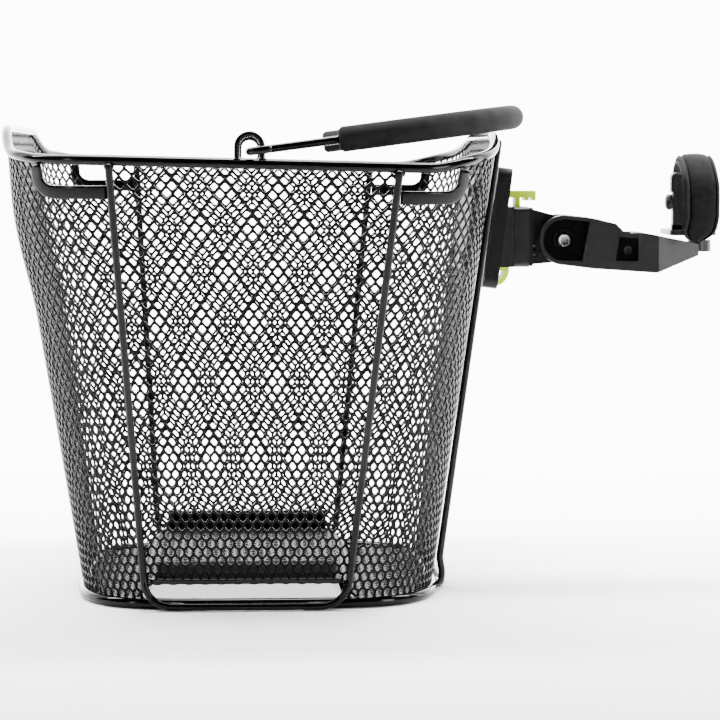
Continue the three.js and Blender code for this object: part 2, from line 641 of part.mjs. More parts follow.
// The neck that the arm pivots on: a flange behind the cover and a rounded tongue
function adapterNeck() {
  const { bottomZ, topZ } = ADAPTER;
  const half = FLANGE.width / 2;
  const flange = block(FLANGE.frontX, -half, bottomZ + 0.5, FLANGE.rearX, half, topZ - 0.5);
  const r = PIVOT.radius - 1.5;
  const shape = new THREE.Shape();
  shape.moveTo(FLANGE.rearX - 1, topZ - 1);
  shape.lineTo(FLANGE.rearX - 1, bottomZ + 1);
  shape.lineTo(PIVOT.x - 3, PIVOT.z - r);
  shape.absarc(PIVOT.x, PIVOT.z, r, -Math.PI / 2, Math.PI / 2, false);
  const tongue = slab(shape, -TONGUE_HALF, TONGUE_HALF);
  const bore = rodY(PIVOT.x, -30, 30, PIVOT.z, PIVOT.bolt + GAP);
  return cut(joined(flange, tongue), bore, ...neckScrewBores(FLANGE.frontX - 1, FLANGE.rearX + 1));
}

// Two screws hold the neck's flange to the cover
const neckScrewTool = (side, x0, x1, radius) => rodX(x0, x1, side * NECK_SCREW.y, NECK_SCREW.z, radius, 12);

function neckScrew(side) {
  const headFront = FLANGE.rearX + GAP;
  const head = neckScrewTool(side, headFront, headFront + NECK_SCREW.headHeight, NECK_SCREW.head);
  const shank = neckScrewTool(side, headFront - NECK_SCREW.length, headFront + 1, NECK_SCREW.radius);
  return joined(head, shank);
}

const neckScrewBores = (x0, x1) =>
  [-1, 1].map((side) => neckScrewTool(side, x0, x1, NECK_SCREW.radius + GAP));

// ---------------------------------------------------------------- arm

// Side outline of a cheek up to the crease, where it bends inward
function cheekShape() {
  const shape = new THREE.Shape();
  const r = PIVOT.radius;
  shape.moveTo(PIVOT.x, PIVOT.z + r);
  shape.absarc(PIVOT.x, PIVOT.z, r, Math.PI / 2, Math.PI * 1.5, false);
  shape.lineTo(207, 189.8);
  shape.lineTo(CREASE_X - 2, 187.2);
  shape.lineTo(CREASE_X, CREASE_Z.bottomZ);
  shape.lineTo(CREASE_X, CREASE_Z.topZ);
  shape.quadraticCurveTo(237, 212, 230, 211.2);
  shape.lineTo(225.5, 212.4);
  shape.lineTo(220.8, 216.9);
  shape.lineTo(207, 220.2);
  return shape;
}

// The part of a cheek beyond the crease, which leans towards the middle
function cheekNose(side) {
  const stations = [
    [CREASE_X, CHEEK, CREASE_Z],
    [NOSE.x, NOSE, NOSE],
  ];
  const rings = stations.map(([x, { inner, outer }, { bottomZ, topZ }]) => {
    const [y0, y1] = [side * inner, side * outer];
    return [at(x, y0, bottomZ), at(x, y1, bottomZ), at(x, y1, topZ), at(x, y0, topZ)];
  });
  return skin(rings);
}

// The round recess about the pivot, which runs on towards the arm's middle
function pivotRecess() {
  const shape = new THREE.Shape();
  const r = PIVOT.radius - RECESS.border;
  shape.moveTo(PIVOT.x, PIVOT.z + r);
  shape.absarc(PIVOT.x, PIVOT.z, r, Math.PI / 2, Math.PI * 1.5, false);
  shape.lineTo(PIVOT.x + RECESS.lowReach, PIVOT.z - r);
  shape.lineTo(PIVOT.x + RECESS.highReach, PIVOT.z + r - 1.5);
  return shape;
}

function armCheek(side) {
  const [y0, y1] = [CHEEK.inner, CHEEK.outer].map((y) => side * y).sort((a, b) => a - b);
  const recess = [RECESS_FLOOR, CHEEK.outer + 1].map((y) => side * y).sort((a, b) => a - b);
  const plate = slab(cheekShape(), y0, y1, 10);
  const tools = [
    slab(pivotRecess(), ...recess),
    slab(polygon(RECESS.window), ...recess),
    rodY(PIVOT.x, -30, 30, PIVOT.z, PIVOT.bolt + GAP),
    rodY(CROSS_BOLT.x, -30, 30, CROSS_BOLT.z, CROSS_BOLT.radius + GAP, 12),
  ];
  return cut(joined(plate, cheekNose(side)), ...tools);
}

function bolt(place, shank, head, length) {
  const seat = -RECESS_FLOOR - GAP;
  const headBody = rodY(place.x, seat - length, seat, place.z, head);
  const shankBody = rodY(place.x, seat - 1, RECESS_FLOOR + BOLT_END, place.z, shank);
  return joined(headBody, shankBody);
}

const nut = (place, inner, outer, length) =>
  washerY(place.x, RECESS_FLOOR + GAP, RECESS_FLOOR + GAP + length, place.z, inner, outer, 6);

const pivotWasher = (side) => {
  const [y0, y1] = [TONGUE_HALF + GAP, CHEEK.inner - GAP].map((y) => side * y).sort((a, b) => a - b);
  return washerY(PIVOT.x, y0, y1, PIVOT.z, PIVOT.bolt + GAP, 7);
};

function crossSpacer() {
  const half = CHEEK.inner - GAP;
  return washerY(CROSS_BOLT.x, -half, half, CROSS_BOLT.z, CROSS_BOLT.radius + GAP, CROSS_BOLT.spacer, 12);
}

// ---------------------------------------------------------------- stem saddle and strap

function stemSaddle() {
  const { front, rear, bottomZ, topZ, halfWidth } = SADDLE;
  const plan = roundedRectangle(front, -halfWidth, rear, halfWidth, 5);
  const board = extruded(plan, topZ - bottomZ, 4).translate(0, 0, bottomZ);
  const post = block(NOSE_BLOCK.x - 5, -3.8, NOSE_BLOCK.bottomZ, NOSE_BLOCK.x + 5, 3.8, bottomZ + 1);
  const half = new THREE.Shape();
  half.moveTo(NOSE_BLOCK.x, -NOSE_BLOCK.radius);
  half.absarc(NOSE_BLOCK.x, 0, NOSE_BLOCK.radius, -Math.PI / 2, Math.PI / 2, false);
  const depth = NOSE_BLOCK.topZ - NOSE_BLOCK.bottomZ;
  const nose = extruded(half, depth, 10).translate(0, 0, NOSE_BLOCK.bottomZ);
  return joined(board, post, nose);
}

// A band round the stem: up the left side, over the top and down the right side. The offset is
// measured from the padded strap's inner face.
function loopBand(offset, { thickness, front, rear }, leftEndZ, steps = 18) {
  const line = (grow) => {
    const half = LOOP.halfWidth + grow;
    const arch = Array.from({ length: steps + 1 }, (_, i) => {
      const angle = Math.PI * (1 - i / steps);
      return [half * Math.cos(angle), LOOP.z + (LOOP.height + grow) * Math.sin(angle)];
    });
    return [[-half, leftEndZ], ...arch, [half, LOOP.rightEndZ]];
  };
  const [inner, outer] = [line(offset), line(offset + thickness)];
  const ring = (low, high) => [at(front, ...low), at(rear, ...low), at(rear, ...high), at(front, ...high)];
  return skin(inner.map((low, i) => ring(low, outer[i])));
}

const strapInner = () => loopBand(-INNER_STRAP.thickness - GAP, INNER_STRAP, LOOP.rightEndZ);
const strapPadded = () => loopBand(0, PAD, LOOP.leftEndZ);

function strapBuckle() {
  const { front, rear, bottomZ, topZ, outerY, innerY } = BUCKLE;
  const body = block(front, outerY, bottomZ, rear, innerY, topZ);
  const head = block(front - 1.2, outerY, topZ - 11, rear, innerY - 1, topZ - 2);
  return cut(joined(body, head), rodX(front - 2, front + KNOB.depth, KNOB.y, KNOB.z, KNOB.stem + GAP, 12));
}

function strapKnob() {
  const back = BUCKLE.front - GAP;
  const grip = rodX(back - KNOB.length, back, KNOB.y, KNOB.z, KNOB.radius, 20);
  const stem = rodX(back - 1, BUCKLE.front + KNOB.depth - GAP, KNOB.y, KNOB.z, KNOB.stem, 12);
  return joined(grip, stem);
}

// ---------------------------------------------------------------- assembly

const model = new THREE.Group();

function add(name, geometry, material) {
  const mesh = new THREE.Mesh(geometry, material);
  mesh.name = name;
  model.add(mesh);
}

const SIDES = [['left', -1], ['right', 1]];

add('mesh_wall', cut(meshWall(), ...screwHoles()), paintedWire);
add('mesh_floor', meshFloor(), paintedWire);
add('top_rim', topRim(), paintedWire);
add('base_ring', baseRing(), paintedWire);
add('rear_frame', rearFrame(), paintedWire);
add('front_plate', frontPlate(), blackPlastic);
for (const [name, side] of SIDES) {
  add(`side_frame_${name}`, sideFrame(side), paintedWire);
  add(`front_strip_${name}`, windowStrip(FRONT_WINDOW, side), paintedWire);
  add(`rear_strip_${name}`, windowStrip(REAR_WINDOW, side), paintedWire);
  add(`handle_eye_${name}`, handleEye(side), paintedWire);
}

add('handle_bail', handleBail(), paintedWire);
add('handle_grip', handleGrip(), foam);

add('back_plate', backPlate(), blackPlastic);
add('clamp_plate', clampPlate(), blackPlastic);
screwPlaces.forEach((place, i) => add(`plate_screw_${i + 1}`, plateScrew(place), steel));

add('adapter_housing', adapterHousing(), blackPlastic);
add('adapter_cover', adapterCover(), blackPlastic);
add('adapter_neck', adapterNeck(), blackPlastic);
add('release_slider', releaseSlider(), limePlastic);
add('latch_spring', latchSpring(), steel);

for (const [name, side] of SIDES) {
  add(`neck_screw_${name}`, neckScrew(side), steel);
  add(`arm_cheek_${name}`, armCheek(side), blackPlastic);
  add(`pivot_washer_${name}`, pivotWasher(side), steel);
}
add('pivot_bolt', bolt(PIVOT, PIVOT.bolt, PIVOT.head, 2.2), steel);
add('pivot_nut', nut(PIVOT, PIVOT.bolt + 3 * GAP, 4.6, 2), steel);
add('cross_bolt', bolt(CROSS_BOLT, CROSS_BOLT.radius, CROSS_BOLT.head, 1.6), steel);
add('cross_nut', nut(CROSS_BOLT, CROSS_BOLT.radius + 2 * GAP, 3.2, 1.8), steel);
add('cross_spacer', crossSpacer(), blackPlastic);
add('stem_saddle', stemSaddle(), blackPlastic);
add('strap_inner', strapInner(), blackPlastic);
add('strap_padded', strapPadded(), strapCloth);
add('strap_buckle', strapBuckle(), blackPlastic);
add('strap_knob', strapKnob(), blackPlastic);

// The origin is under the middle of the whole, at the level of the base ring's foot
const extent = new THREE.Box3().setFromObject(model);
model.position.x = -(extent.min.x + extent.max.x) / 2;

export default model;
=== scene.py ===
"""The looks of a bicycle's handlebar basket: expanded-metal walls and floor, painted wires, a foam carry
handle, the quick-release adapter, and the arm with its padded strap. Lengths here are in millimetres."""

import math

import bpy
import numpy as np
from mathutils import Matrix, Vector
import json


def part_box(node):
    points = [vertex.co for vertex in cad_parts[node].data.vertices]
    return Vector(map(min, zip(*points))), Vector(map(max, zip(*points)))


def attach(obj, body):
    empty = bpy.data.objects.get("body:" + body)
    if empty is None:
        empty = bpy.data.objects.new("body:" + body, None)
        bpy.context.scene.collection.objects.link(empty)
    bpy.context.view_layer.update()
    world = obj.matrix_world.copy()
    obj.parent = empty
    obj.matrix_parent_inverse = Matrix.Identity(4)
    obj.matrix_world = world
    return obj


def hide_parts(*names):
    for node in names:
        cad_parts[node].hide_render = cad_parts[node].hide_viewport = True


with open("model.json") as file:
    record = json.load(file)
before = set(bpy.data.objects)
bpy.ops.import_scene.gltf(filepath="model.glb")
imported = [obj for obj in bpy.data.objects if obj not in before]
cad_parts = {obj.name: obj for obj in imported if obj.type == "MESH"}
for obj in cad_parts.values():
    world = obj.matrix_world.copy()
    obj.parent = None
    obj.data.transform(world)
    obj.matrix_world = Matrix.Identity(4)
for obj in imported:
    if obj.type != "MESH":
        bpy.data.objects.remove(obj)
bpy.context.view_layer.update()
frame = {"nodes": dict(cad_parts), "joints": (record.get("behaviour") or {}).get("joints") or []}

MM = 0.001
JOINTS = {joint["name"]: joint for joint in frame["joints"]}


def cad_box(node):
    """A CAD node's lowest and highest corner, in millimetres."""
    low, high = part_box(node)
    return np.array(low) / MM, np.array(high) / MM


# ---------------------------------------------------------------- measures

PIVOT = np.array(JOINTS["handle_swing"]["pos_m"]) / MM  # middle of the carry handle's hinge line
ARM_PIVOT = np.array(JOINTS["arm_tilt"]["pos_m"]) / MM
KNOB_PIVOT = np.array(JOINTS["knob_turn"]["pos_m"]) / MM

OCTAGON = math.cos(math.pi / 8)  # an eight-sided wire's flat radius over its corner radius
GAP = 0.3
RIM_RADIUS = 2.75
RING_RADIUS = 3.2
FRAME_RADIUS = 2.1
EYE_RADIUS = 1.55
BAIL_RADIUS = 2.25
RIM_POWER = 4.8
RING_POWER = 4.2

rim_low, rim_high = cad_box("top_rim")
ring_low, ring_high = cad_box("base_ring")
RIM_INSET = RIM_RADIUS * OCTAGON
RIM_FRONT, RIM_REAR = rim_low[0] + RIM_INSET, rim_high[0] - RIM_INSET
RIM_HALF = rim_high[1] - RIM_INSET
RING_FRONT, RING_REAR = ring_low[0] + RING_RADIUS, ring_high[0] - RING_RADIUS
RING_HALF = ring_high[1] - RING_RADIUS

RIM_SIDE_Z = 253.3
RIM_SIDE_FALL = 3.4
# The rim's rise at the front and rear: its height, the share of the half length where it starts, the
# half widths where it is full and where it has fallen, and the share of it that is left there.
FRONT_RISE = (16.0, 0.82, 75.0, 130.0, 0.2)
REAR_RISE = (19.0, 0.68, 60.0, 140.0, 0.45)
WALL_FOOT_Z = 2 * RING_RADIUS + GAP
FRONT_FLARE = 3.0

WALL_COLUMNS = 152
WALL_ROWS = 51
ROW_PITCH_TOP_TO_FOOT = 0.88
BOND_TOP, BOND_FOOT = 0.09, 0.3  # half length of an upright strand, as a share of the row pitch
STRAND = 0.72  # half width of a strand
SHEET = 1.3  # thickness of the expanded metal, paint included

# ---------------------------------------------------------------- mesh building


def new_object(name, points, faces):
    """A mesh object from points in millimetres."""
    mesh = bpy.data.meshes.new(name)
    mesh.from_pydata((np.asarray(points, float) * MM).tolist(), [], [tuple(map(int, f)) for f in faces])
    mesh.validate()
    mesh.shade_smooth()
    obj = bpy.data.objects.new(name, mesh)
    bpy.context.scene.collection.objects.link(obj)
    return obj


def unit(vectors):
    vectors = np.asarray(vectors, float)
    return vectors / np.linalg.norm(vectors, axis=-1, keepdims=True)


def tangents(path, closed):
    if closed:
        return unit(np.roll(path, -1, 0) - np.roll(path, 1, 0))
    return unit(np.gradient(path, axis=0))


def frames(path, closed, reference):
    """Two unit directions across a path at each point, which turn as little as possible."""
    along = tangents(path, closed)
    if reference is not None:
        across = unit(np.cross(along, np.broadcast_to(reference, along.shape)))
        return across, np.cross(across, along)
    first = np.cross(along[0], [0.0, 0.0, 1.0])
    if np.linalg.norm(first) < 0.1:
        first = np.cross(along[0], [0.0, 1.0, 0.0])
    across = [unit(first)]
    for direction in along[1:]:
        side = across[-1] - direction * np.dot(across[-1], direction)
        across.append(unit(side))
    across = np.array(across)
    return across, np.cross(across, along)


def sweep(path, sections, closed=False, reference=None):
    """Points of a bar along a path. sections is one outline, or one for each point of the path."""
    path = np.asarray(path, float)
    across, upward = frames(path, closed, reference)
    sections = np.asarray(sections, float)
    if sections.ndim == 2:
        sections = np.broadcast_to(sections, (len(path), *sections.shape))
    return (
        path[:, None, :]
        + sections[..., 0:1] * across[:, None, :]
        + sections[..., 1:2] * upward[:, None, :]
    )


def skin_faces(rings, sides, closed):
    faces = []
    bands = rings if closed else rings - 1
    for r in range(bands):
        n = (r + 1) % rings
        for i in range(sides):
            j = (i + 1) % sides
            faces.append((r * sides + i, r * sides + j, n * sides + j, n * sides + i))
    if not closed:
        faces.append(tuple(range(sides))[::-1])
        last = (rings - 1) * sides
        faces.append(tuple(range(last, last + sides)))
    return faces


def circle(radius, sides=20):
    angle = np.arange(sides) * 2 * math.pi / sides
    return np.stack([radius * np.cos(angle), radius * np.sin(angle)], 1)


def resample(path, step):
    """The same open path with evenly spaced points."""
    path = np.asarray(path, float)
    length = np.concatenate([[0], np.cumsum(np.linalg.norm(np.diff(path, axis=0), axis=1))])
    count = max(3, int(round(length[-1] / step)))
    at = np.linspace(0, length[-1], count + 1)
    return np.stack([np.interp(at, length, path[:, k]) for k in range(3)], 1)


def rounded_path(corners, radius, steps=8):
    """A path through corners, with each inner corner rounded by up to radius."""
    corners = np.asarray(corners, float)
    points = [corners[0]]
    for before, corner, after in zip(corners, corners[1:], corners[2:]):
        reach = min(radius, np.linalg.norm(before - corner) / 2, np.linalg.norm(after - corner) / 2)
        start = corner + unit(before - corner) * reach
        end = corner + unit(after - corner) * reach
        for t in np.linspace(0, 1, steps + 1):
            points.append((1 - t) ** 2 * start + 2 * t * (1 - t) * corner + t**2 * end)
    points.append(corners[-1])
    return np.array(points)


def spline(points, per_span=8):
    """A smooth path through every point."""
    p = np.asarray(points, float)
    p = np.vstack([2 * p[0] - p[1], p, 2 * p[-1] - p[-2]])
    out = []
    for a, b, c, d in zip(p, p[1:], p[2:], p[3:]):
        for t in np.arange(per_span) / per_span:
            square = 2 * a - 5 * b + 4 * c - d
            cube = 3 * b - a - 3 * c + d
            out.append(0.5 * (2 * b + (c - a) * t + square * t**2 + cube * t**3))
    out.append(p[-2])
    return np.array(out)


def wire(name, path, radius, closed=False, reference=None, sides=20):
    """A round wire. An open one has domed ends."""
    path = np.asarray(path, float)
    radii = np.full(len(path), radius)
    if not closed:
        dome = radius * (1 - np.cos(np.linspace(0, math.pi / 2, 6)))[:-1]
        widths = radius * np.sin(np.linspace(0.05, math.pi / 2, 6))[:-1]
        start = unit(path[1] - path[0])
        end = unit(path[-1] - path[-2])
        head = [path[0] - start * (radius - d) for d in dome]
        tail = [path[-1] + end * (radius - d) for d in dome][::-1]
        path = np.vstack([head, path, tail])
        radii = np.concatenate([widths, radii, widths[::-1]])
    sections = np.stack([circle(r, sides) for r in radii])
    rings = sweep(path, sections, closed, reference)
    return new_object(name, rings.reshape(-1, 3), skin_faces(len(path), sides, closed))


def bar(name, path, section, reference):
    """A bar of one cross-section along an open path."""
    rings = sweep(path, section, False, reference)
    return new_object(name, rings.reshape(-1, 3), skin_faces(len(rings), rings.shape[1], False))


def rounded_rectangle(half_a, half_b, radius, steps=4):
    points = []
    for sa, sb, start in ((1, 1, 0), (-1, 1, 90), (-1, -1, 180), (1, -1, 270)):
        for angle in np.radians(np.linspace(start, start + 90, steps + 1)):
            points.append(
                (
                    sa * (half_a - radius) + radius * math.cos(angle),
                    sb * (half_b - radius) + radius * math.sin(angle),
                )
            )
    return np.array(points)


def lathe(name, profile, origin, axis, sides=32):
    """A turned piece: profile points are (along the axis, radius), from one end to the other."""
    axis = unit(axis)
    across = unit(np.cross(axis, [0.0, 0.3, 1.0] if abs(axis[2]) < 0.9 else [1.0, 0.0, 0.0]))
    other = np.cross(axis, across)
    angle = np.arange(sides) * 2 * math.pi / sides
    rings = [
        np.asarray(origin, float)
        + a * axis
        + max(r, 0.01) * (np.cos(angle)[:, None] * across + np.sin(angle)[:, None] * other)
        for a, r in profile
    ]
    return new_object(name, np.vstack(rings), skin_faces(len(rings), sides, False))


def merge(name, objects):
    """One object from several."""
    points, faces, offset = [], [], 0
    for obj in objects:
        co = np.array([v.co for v in obj.data.vertices])
        points.append(co / MM)
        faces += [tuple(i + offset for i in p.vertices) for p in obj.data.polygons]
        offset += len(co)
        bpy.data.objects.remove(obj)
    return new_object(name, np.vstack(points), faces)


def sharpen(obj, degrees):
    """Keeps an object's edges sharp where its faces turn by more than this."""
    obj.data.set_sharp_from_angle(angle=math.radians(degrees))
    return obj


BEVEL_ANGLE = math.radians(30)


def bevel(obj, width, segments=2):
    """Rounds an object's edges."""
    obj.data.shade_smooth()
    modifier = obj.modifiers.new("edges", "BEVEL")
    modifier.width = width * MM
    modifier.segments = segments
    modifier.limit_method = "ANGLE"
    modifier.angle_limit = BEVEL_ANGLE
    modifier.harden_normals = True
    obj.data.set_sharp_from_angle(angle=BEVEL_ANGLE)
    return obj


# ---------------------------------------------------------------- materials


def node_material(name):
    material = bpy.data.materials.new(name)
    material.use_nodes = True
    tree = material.node_tree
    tree.nodes.clear()
    shader = tree.nodes.new("ShaderNodeBsdfPrincipled")
    output = tree.nodes.new("ShaderNodeOutputMaterial")
    tree.links.new(shader.outputs["BSDF"], output.inputs["Surface"])
    return material, tree, shader


def noise(tree, scale, detail=3.0, roughness=0.5):
    """Noise in the row frame's own space. scale is in features per metre."""
    place = tree.nodes.new("ShaderNodeTexCoord")
    texture = tree.nodes.new("ShaderNodeTexNoise")
    texture.inputs["Scale"].default_value = scale
    texture.inputs["Detail"].default_value = detail
    texture.inputs["Roughness"].default_value = roughness
    tree.links.new(place.outputs["Object"], texture.inputs["Vector"])
    return texture.outputs["Fac"]


def ramp(tree, value, low, high, from_low=0.3, from_high=0.7):
    """value, spread from one range to another."""
    node = tree.nodes.new("ShaderNodeMapRange")
    node.inputs["From Min"].default_value = from_low
    node.inputs["From Max"].default_value = from_high
    node.inputs["To Min"].default_value = low
    node.inputs["To Max"].default_value = high
    tree.links.new(value, node.inputs["Value"])
    return node.outputs["Result"]


def shade_mix(tree, value, dark, light):
    mix = tree.nodes.new("ShaderNodeMix")
    mix.data_type = "RGBA"
    colours = [socket for socket in mix.inputs if socket.type == "RGBA"]
    colours[0].default_value = (*dark, 1)
    colours[1].default_value = (*light, 1)
    tree.links.new(value, mix.inputs["Factor"])
    return [socket for socket in mix.outputs if socket.type == "RGBA"][0]


def bump(tree, shader, height, strength, distance):
    node = tree.nodes.new("ShaderNodeBump")
    node.inputs["Strength"].default_value = strength
    node.inputs["Distance"].default_value = distance * MM
    tree.links.new(height, node.inputs["Height"])
    tree.links.new(node.outputs["Normal"], shader.inputs["Normal"])


def speckled(name, dark, light, rough, grain, bump_depth, metallic=0.0, specular=0.5):
    """A coloured surface whose shade, gloss and height vary with a fine grain."""
    material, tree, shader = node_material(name)
    fine = noise(tree, grain)
    broad = noise(tree, grain / 18, 2.0)
    colour = shade_mix(tree, ramp(tree, broad, 0, 1), dark, light)
    tree.links.new(colour, shader.inputs["Base Color"])
    tree.links.new(ramp(tree, fine, rough[0], rough[1]), shader.inputs["Roughness"])
    bump(tree, shader, fine, 0.6, bump_depth)
    shader.inputs["Metallic"].default_value = metallic
    shader.inputs["Specular IOR Level"].default_value = specular
    return material


BLACK_PAINT = (0.0006, 0.0006, 0.00065), (0.0014, 0.0014, 0.0015)
gloss_paint = speckled("gloss_paint", *BLACK_PAINT, (0.07, 0.13), 900, 0.004, specular=0.14)
mesh_paint = speckled("mesh_paint", *BLACK_PAINT, (0.14, 0.22), 1300, 0.01, specular=0.07)
moulded = speckled(
    "moulded", (0.005, 0.005, 0.0052), (0.008, 0.008, 0.0083), (0.3, 0.42), 2600, 0.012,
    specular=0.24,
)
smooth_plastic = speckled(
    "smooth_plastic", (0.0018, 0.0018, 0.0019), (0.0035, 0.0035, 0.0036), (0.4, 0.46), 1700, 0.001,
    specular=0.16,
)
# A deeper black for the darkest small parts, also used as painted shade on the cheeks' recess floors and
# inside the bolt sockets.
deep_black_and_shade = speckled(
    "deep_black_and_shade", (0.0006, 0.0006, 0.0006), (0.001, 0.001, 0.001), (0.3, 0.4), 1700, 0.008,
    specular=0.04,
)
lime = speckled("lime", (0.42, 0.62, 0.0), (0.48, 0.7, 0.0), (0.3, 0.42), 1500, 0.012)
foam = speckled(
    "foam", (0.009, 0.009, 0.0093), (0.014, 0.014, 0.0144), (0.8, 0.95), 1500, 0.16, specular=0.06
)
black_steel = speckled(
    "black_steel", (0.003, 0.003, 0.003), (0.008, 0.008, 0.008), (0.25, 0.4), 700, 0.01, specular=0.2
)
zinc = speckled("zinc", (0.3, 0.31, 0.32), (0.5, 0.51, 0.52), (0.2, 0.36), 700, 0.01, metallic=1.0)


def woven_material(name, dark, light, pitch, depth):
    """Cloth with a plain weave of the given pitch."""
    material, tree, shader = node_material(name)
    place = tree.nodes.new("ShaderNodeTexCoord")
    waves = []
    for direction in ("X", "DIAGONAL"):
        wave = tree.nodes.new("ShaderNodeTexWave")
        wave.bands_direction = direction
        wave.inputs["Scale"].default_value = 0.314 / (pitch * MM)
        wave.inputs["Distortion"].default_value = 0.6
        wave.inputs["Detail"].default_value = 1.0
        tree.links.new(place.outputs["Object"], wave.inputs["Vector"])
        waves.append(wave.outputs["Fac"])
    cross = tree.nodes.new("ShaderNodeMath")
    cross.operation = "MULTIPLY"
    tree.links.new(waves[0], cross.inputs[0])
    tree.links.new(waves[1], cross.inputs[1])
    broad = noise(tree, 260, 3.0)
    colour = shade_mix(tree, ramp(tree, broad, 0, 1), dark, light)
    tree.links.new(colour, shader.inputs["Base Color"])
    shader.inputs["Roughness"].default_value = 0.85
    shader.inputs["Specular IOR Level"].default_value = 0.08
    bump(tree, shader, cross.outputs[0], 0.7, depth)
    return material


quilt = woven_material("quilt", (0.005, 0.005, 0.0052), (0.008, 0.008, 0.0083), 0.9, 0.14)
piping = woven_material("piping", (0.014, 0.014, 0.0145), (0.022, 0.022, 0.0228), 0.6, 0.1)
# The groove cloth is a near-black copy of the strap's cloth, used as painted shade in the pad's stitched
# grooves.
groove = woven_material("groove", (0.001, 0.001, 0.001), (0.002, 0.002, 0.002), 0.6, 0.1)


def paint(obj, material):
    obj.data.materials.clear()
    obj.data.materials.append(material)


def dress(obj, material, body, nodes=()):
    """Gives a piece its material and its body, and hides the CAD nodes that it stands for."""
    paint(obj, material)
    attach(obj, body)
    if nodes:
        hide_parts(*nodes)
    return obj


def dress_wire(obj, *nodes):
    """Gives one of the basket's wires or strips its gloss paint and its body, and hides the CAD nodes it
    stands for.
    """
    dress(obj, gloss_paint, "basket", nodes)


# ---------------------------------------------------------------- the basket's surfaces


def smooth_step(t):
    t = np.clip(t, 0, 1)
    return t * t * (3 - 2 * t)


def outline_table(front, rear, half, power):
    """A closed outline, from its rearmost point round by the right side, with the share of its length
    that each point has reached."""
    angle = np.linspace(0, 2 * math.pi, 8193)
    def bend(value):
        return np.sign(value) * np.abs(value) ** (2 / power)
    x = (front + rear) / 2 + (rear - front) / 2 * bend(np.cos(angle))
    y = half * bend(np.sin(angle))
    length = np.concatenate([[0], np.cumsum(np.hypot(np.diff(x), np.diff(y)))])
    return x, y, length / length[-1]


rim_table = outline_table(RIM_FRONT, RIM_REAR, RIM_HALF, RIM_POWER)
ring_table = outline_table(RING_FRONT, RING_REAR, RING_HALF, RING_POWER)


def on_outline(table, u):
    x, y, share = table
    u = np.mod(u, 1.0)
    return np.interp(u, share, x), np.interp(u, share, y)


def rim_height(x, y):
    along = (x - (RIM_FRONT + RIM_REAR) / 2) / ((RIM_REAR - RIM_FRONT) / 2)
    rises = []
    for height, start, flat_half, edge_half, corner_share in (FRONT_RISE, REAR_RISE):
        to_corner = smooth_step((np.abs(y) - flat_half) / (edge_half - flat_half))
        to_end = smooth_step((np.abs(along) - start) / (1 - start))
        rises.append(height * (1 + (corner_share - 1) * to_corner) * to_end)
    return RIM_SIDE_Z - RIM_SIDE_FALL * along + np.where(along < 0, rises[0], rises[1])


def wall(u, v):
    """A point of the wall's middle surface: u once round, v from its foot up to the rim."""
    rx, ry = on_outline(rim_table, u)
    bx, by = on_outline(ring_table, u)
    top = rim_height(rx, ry) - RIM_RADIUS - GAP
    x = bx + (rx - bx) * v
    y = by + (ry - by) * v
    z = WALL_FOOT_Z + (top - WALL_FOOT_Z) * v
    frontness = np.clip(-2 * (rx - PIVOT[0]) / (RIM_REAR - RIM_FRONT), 0, 1)
    bulge = smooth_step((v - 0.62) / 0.2) * (1 - smooth_step((v - 0.84) / 0.16))
    x = x - FRONT_FLARE * bulge * frontness**2
    return np.stack([x, y, z], -1)


def wall_normal(u, v):
    du = wall(u + 5e-4, v) - wall(u - 5e-4, v)
    dv = wall(u, v + 1e-3) - wall(u, v - 1e-3)
    return unit(np.cross(du, dv))


def wall_v(u, z):
    rx, ry = on_outline(rim_table, u)
    top = rim_height(rx, ry) - RIM_RADIUS - GAP
    return (z - WALL_FOOT_Z) / (top - WALL_FOOT_Z)


def wall_at(z, axis, value, sign):
    """u and the wall's point where it crosses a plane of constant x or y at height z."""
    other = 1 - axis
    u = (np.arange(2048) + 0.5) / 2048
    p = wall(u, np.clip(wall_v(u, z), 0, 1))
    gap = p[:, axis] - value
    crossing = np.nonzero((gap * np.roll(gap, -1) <= 0) & (np.sign(p[:, other]) == sign))[0]
    i = crossing[0]
    j = (i + 1) % len(u)
    t = gap[i] / (gap[i] - gap[j]) if gap[i] != gap[j] else 0.0
    at_u = u[i] + t / 2048
    point = wall(np.array([at_u]), np.clip(wall_v(np.array([at_u]), z), 0, 1))[0]
    point[2] = z
    return at_u, point


# ---------------------------------------------------------------- expanded metal

TUNNEL_FRONT, TUNNEL_REAR = PIVOT[0] - 57, PIVOT[0] + 52
TUNNEL_TOP, TUNNEL_RUN = 15.0, 10.0
FLOOR_Z = 4.2
SLOT_TOP = 15.8
WINDOW_HEIGHT = 10.6
STRIP_WIDTH, STRIP_THICKNESS, STRIP_BEND = 7.6, 2.2, 9.5
WINDOW_TRIM = 1.5  # how far past the strip's middle the mesh is cut away
SIDE_WALL_Y = 80  # the foot slots lie further out than this
WINDOWS = {
    "front": (PIVOT[0] - 79, PIVOT[0] - 110),
    "rear": (PIVOT[0] + 84, PIVOT[0] + 111.5),
}


rim_side_x, rim_side_y = on_outline(rim_table, np.linspace(0.13, 0.37, 2001))
rim_side_z = rim_height(rim_side_x, rim_side_y)


def rim_over(x):
    """Height of the rim's middle over a place along the side wall."""
    return rim_side_z[np.argmin(np.abs(rim_side_x - x))]


def window_sill(outer):
    """Height of a window's lower edge."""
    return rim_over(outer) - RIM_RADIUS - WINDOW_HEIGHT


def strip_bend(inner, outer):
    """A window strip's outward sign, its line's height, its far end, and the middle of its bend in X."""
    out = np.sign(outer - inner)
    far = outer + out * (STRIP_WIDTH / 2 + GAP)
    return out, window_sill(outer) - STRIP_WIDTH / 2 - GAP, far, far - out * STRIP_BEND


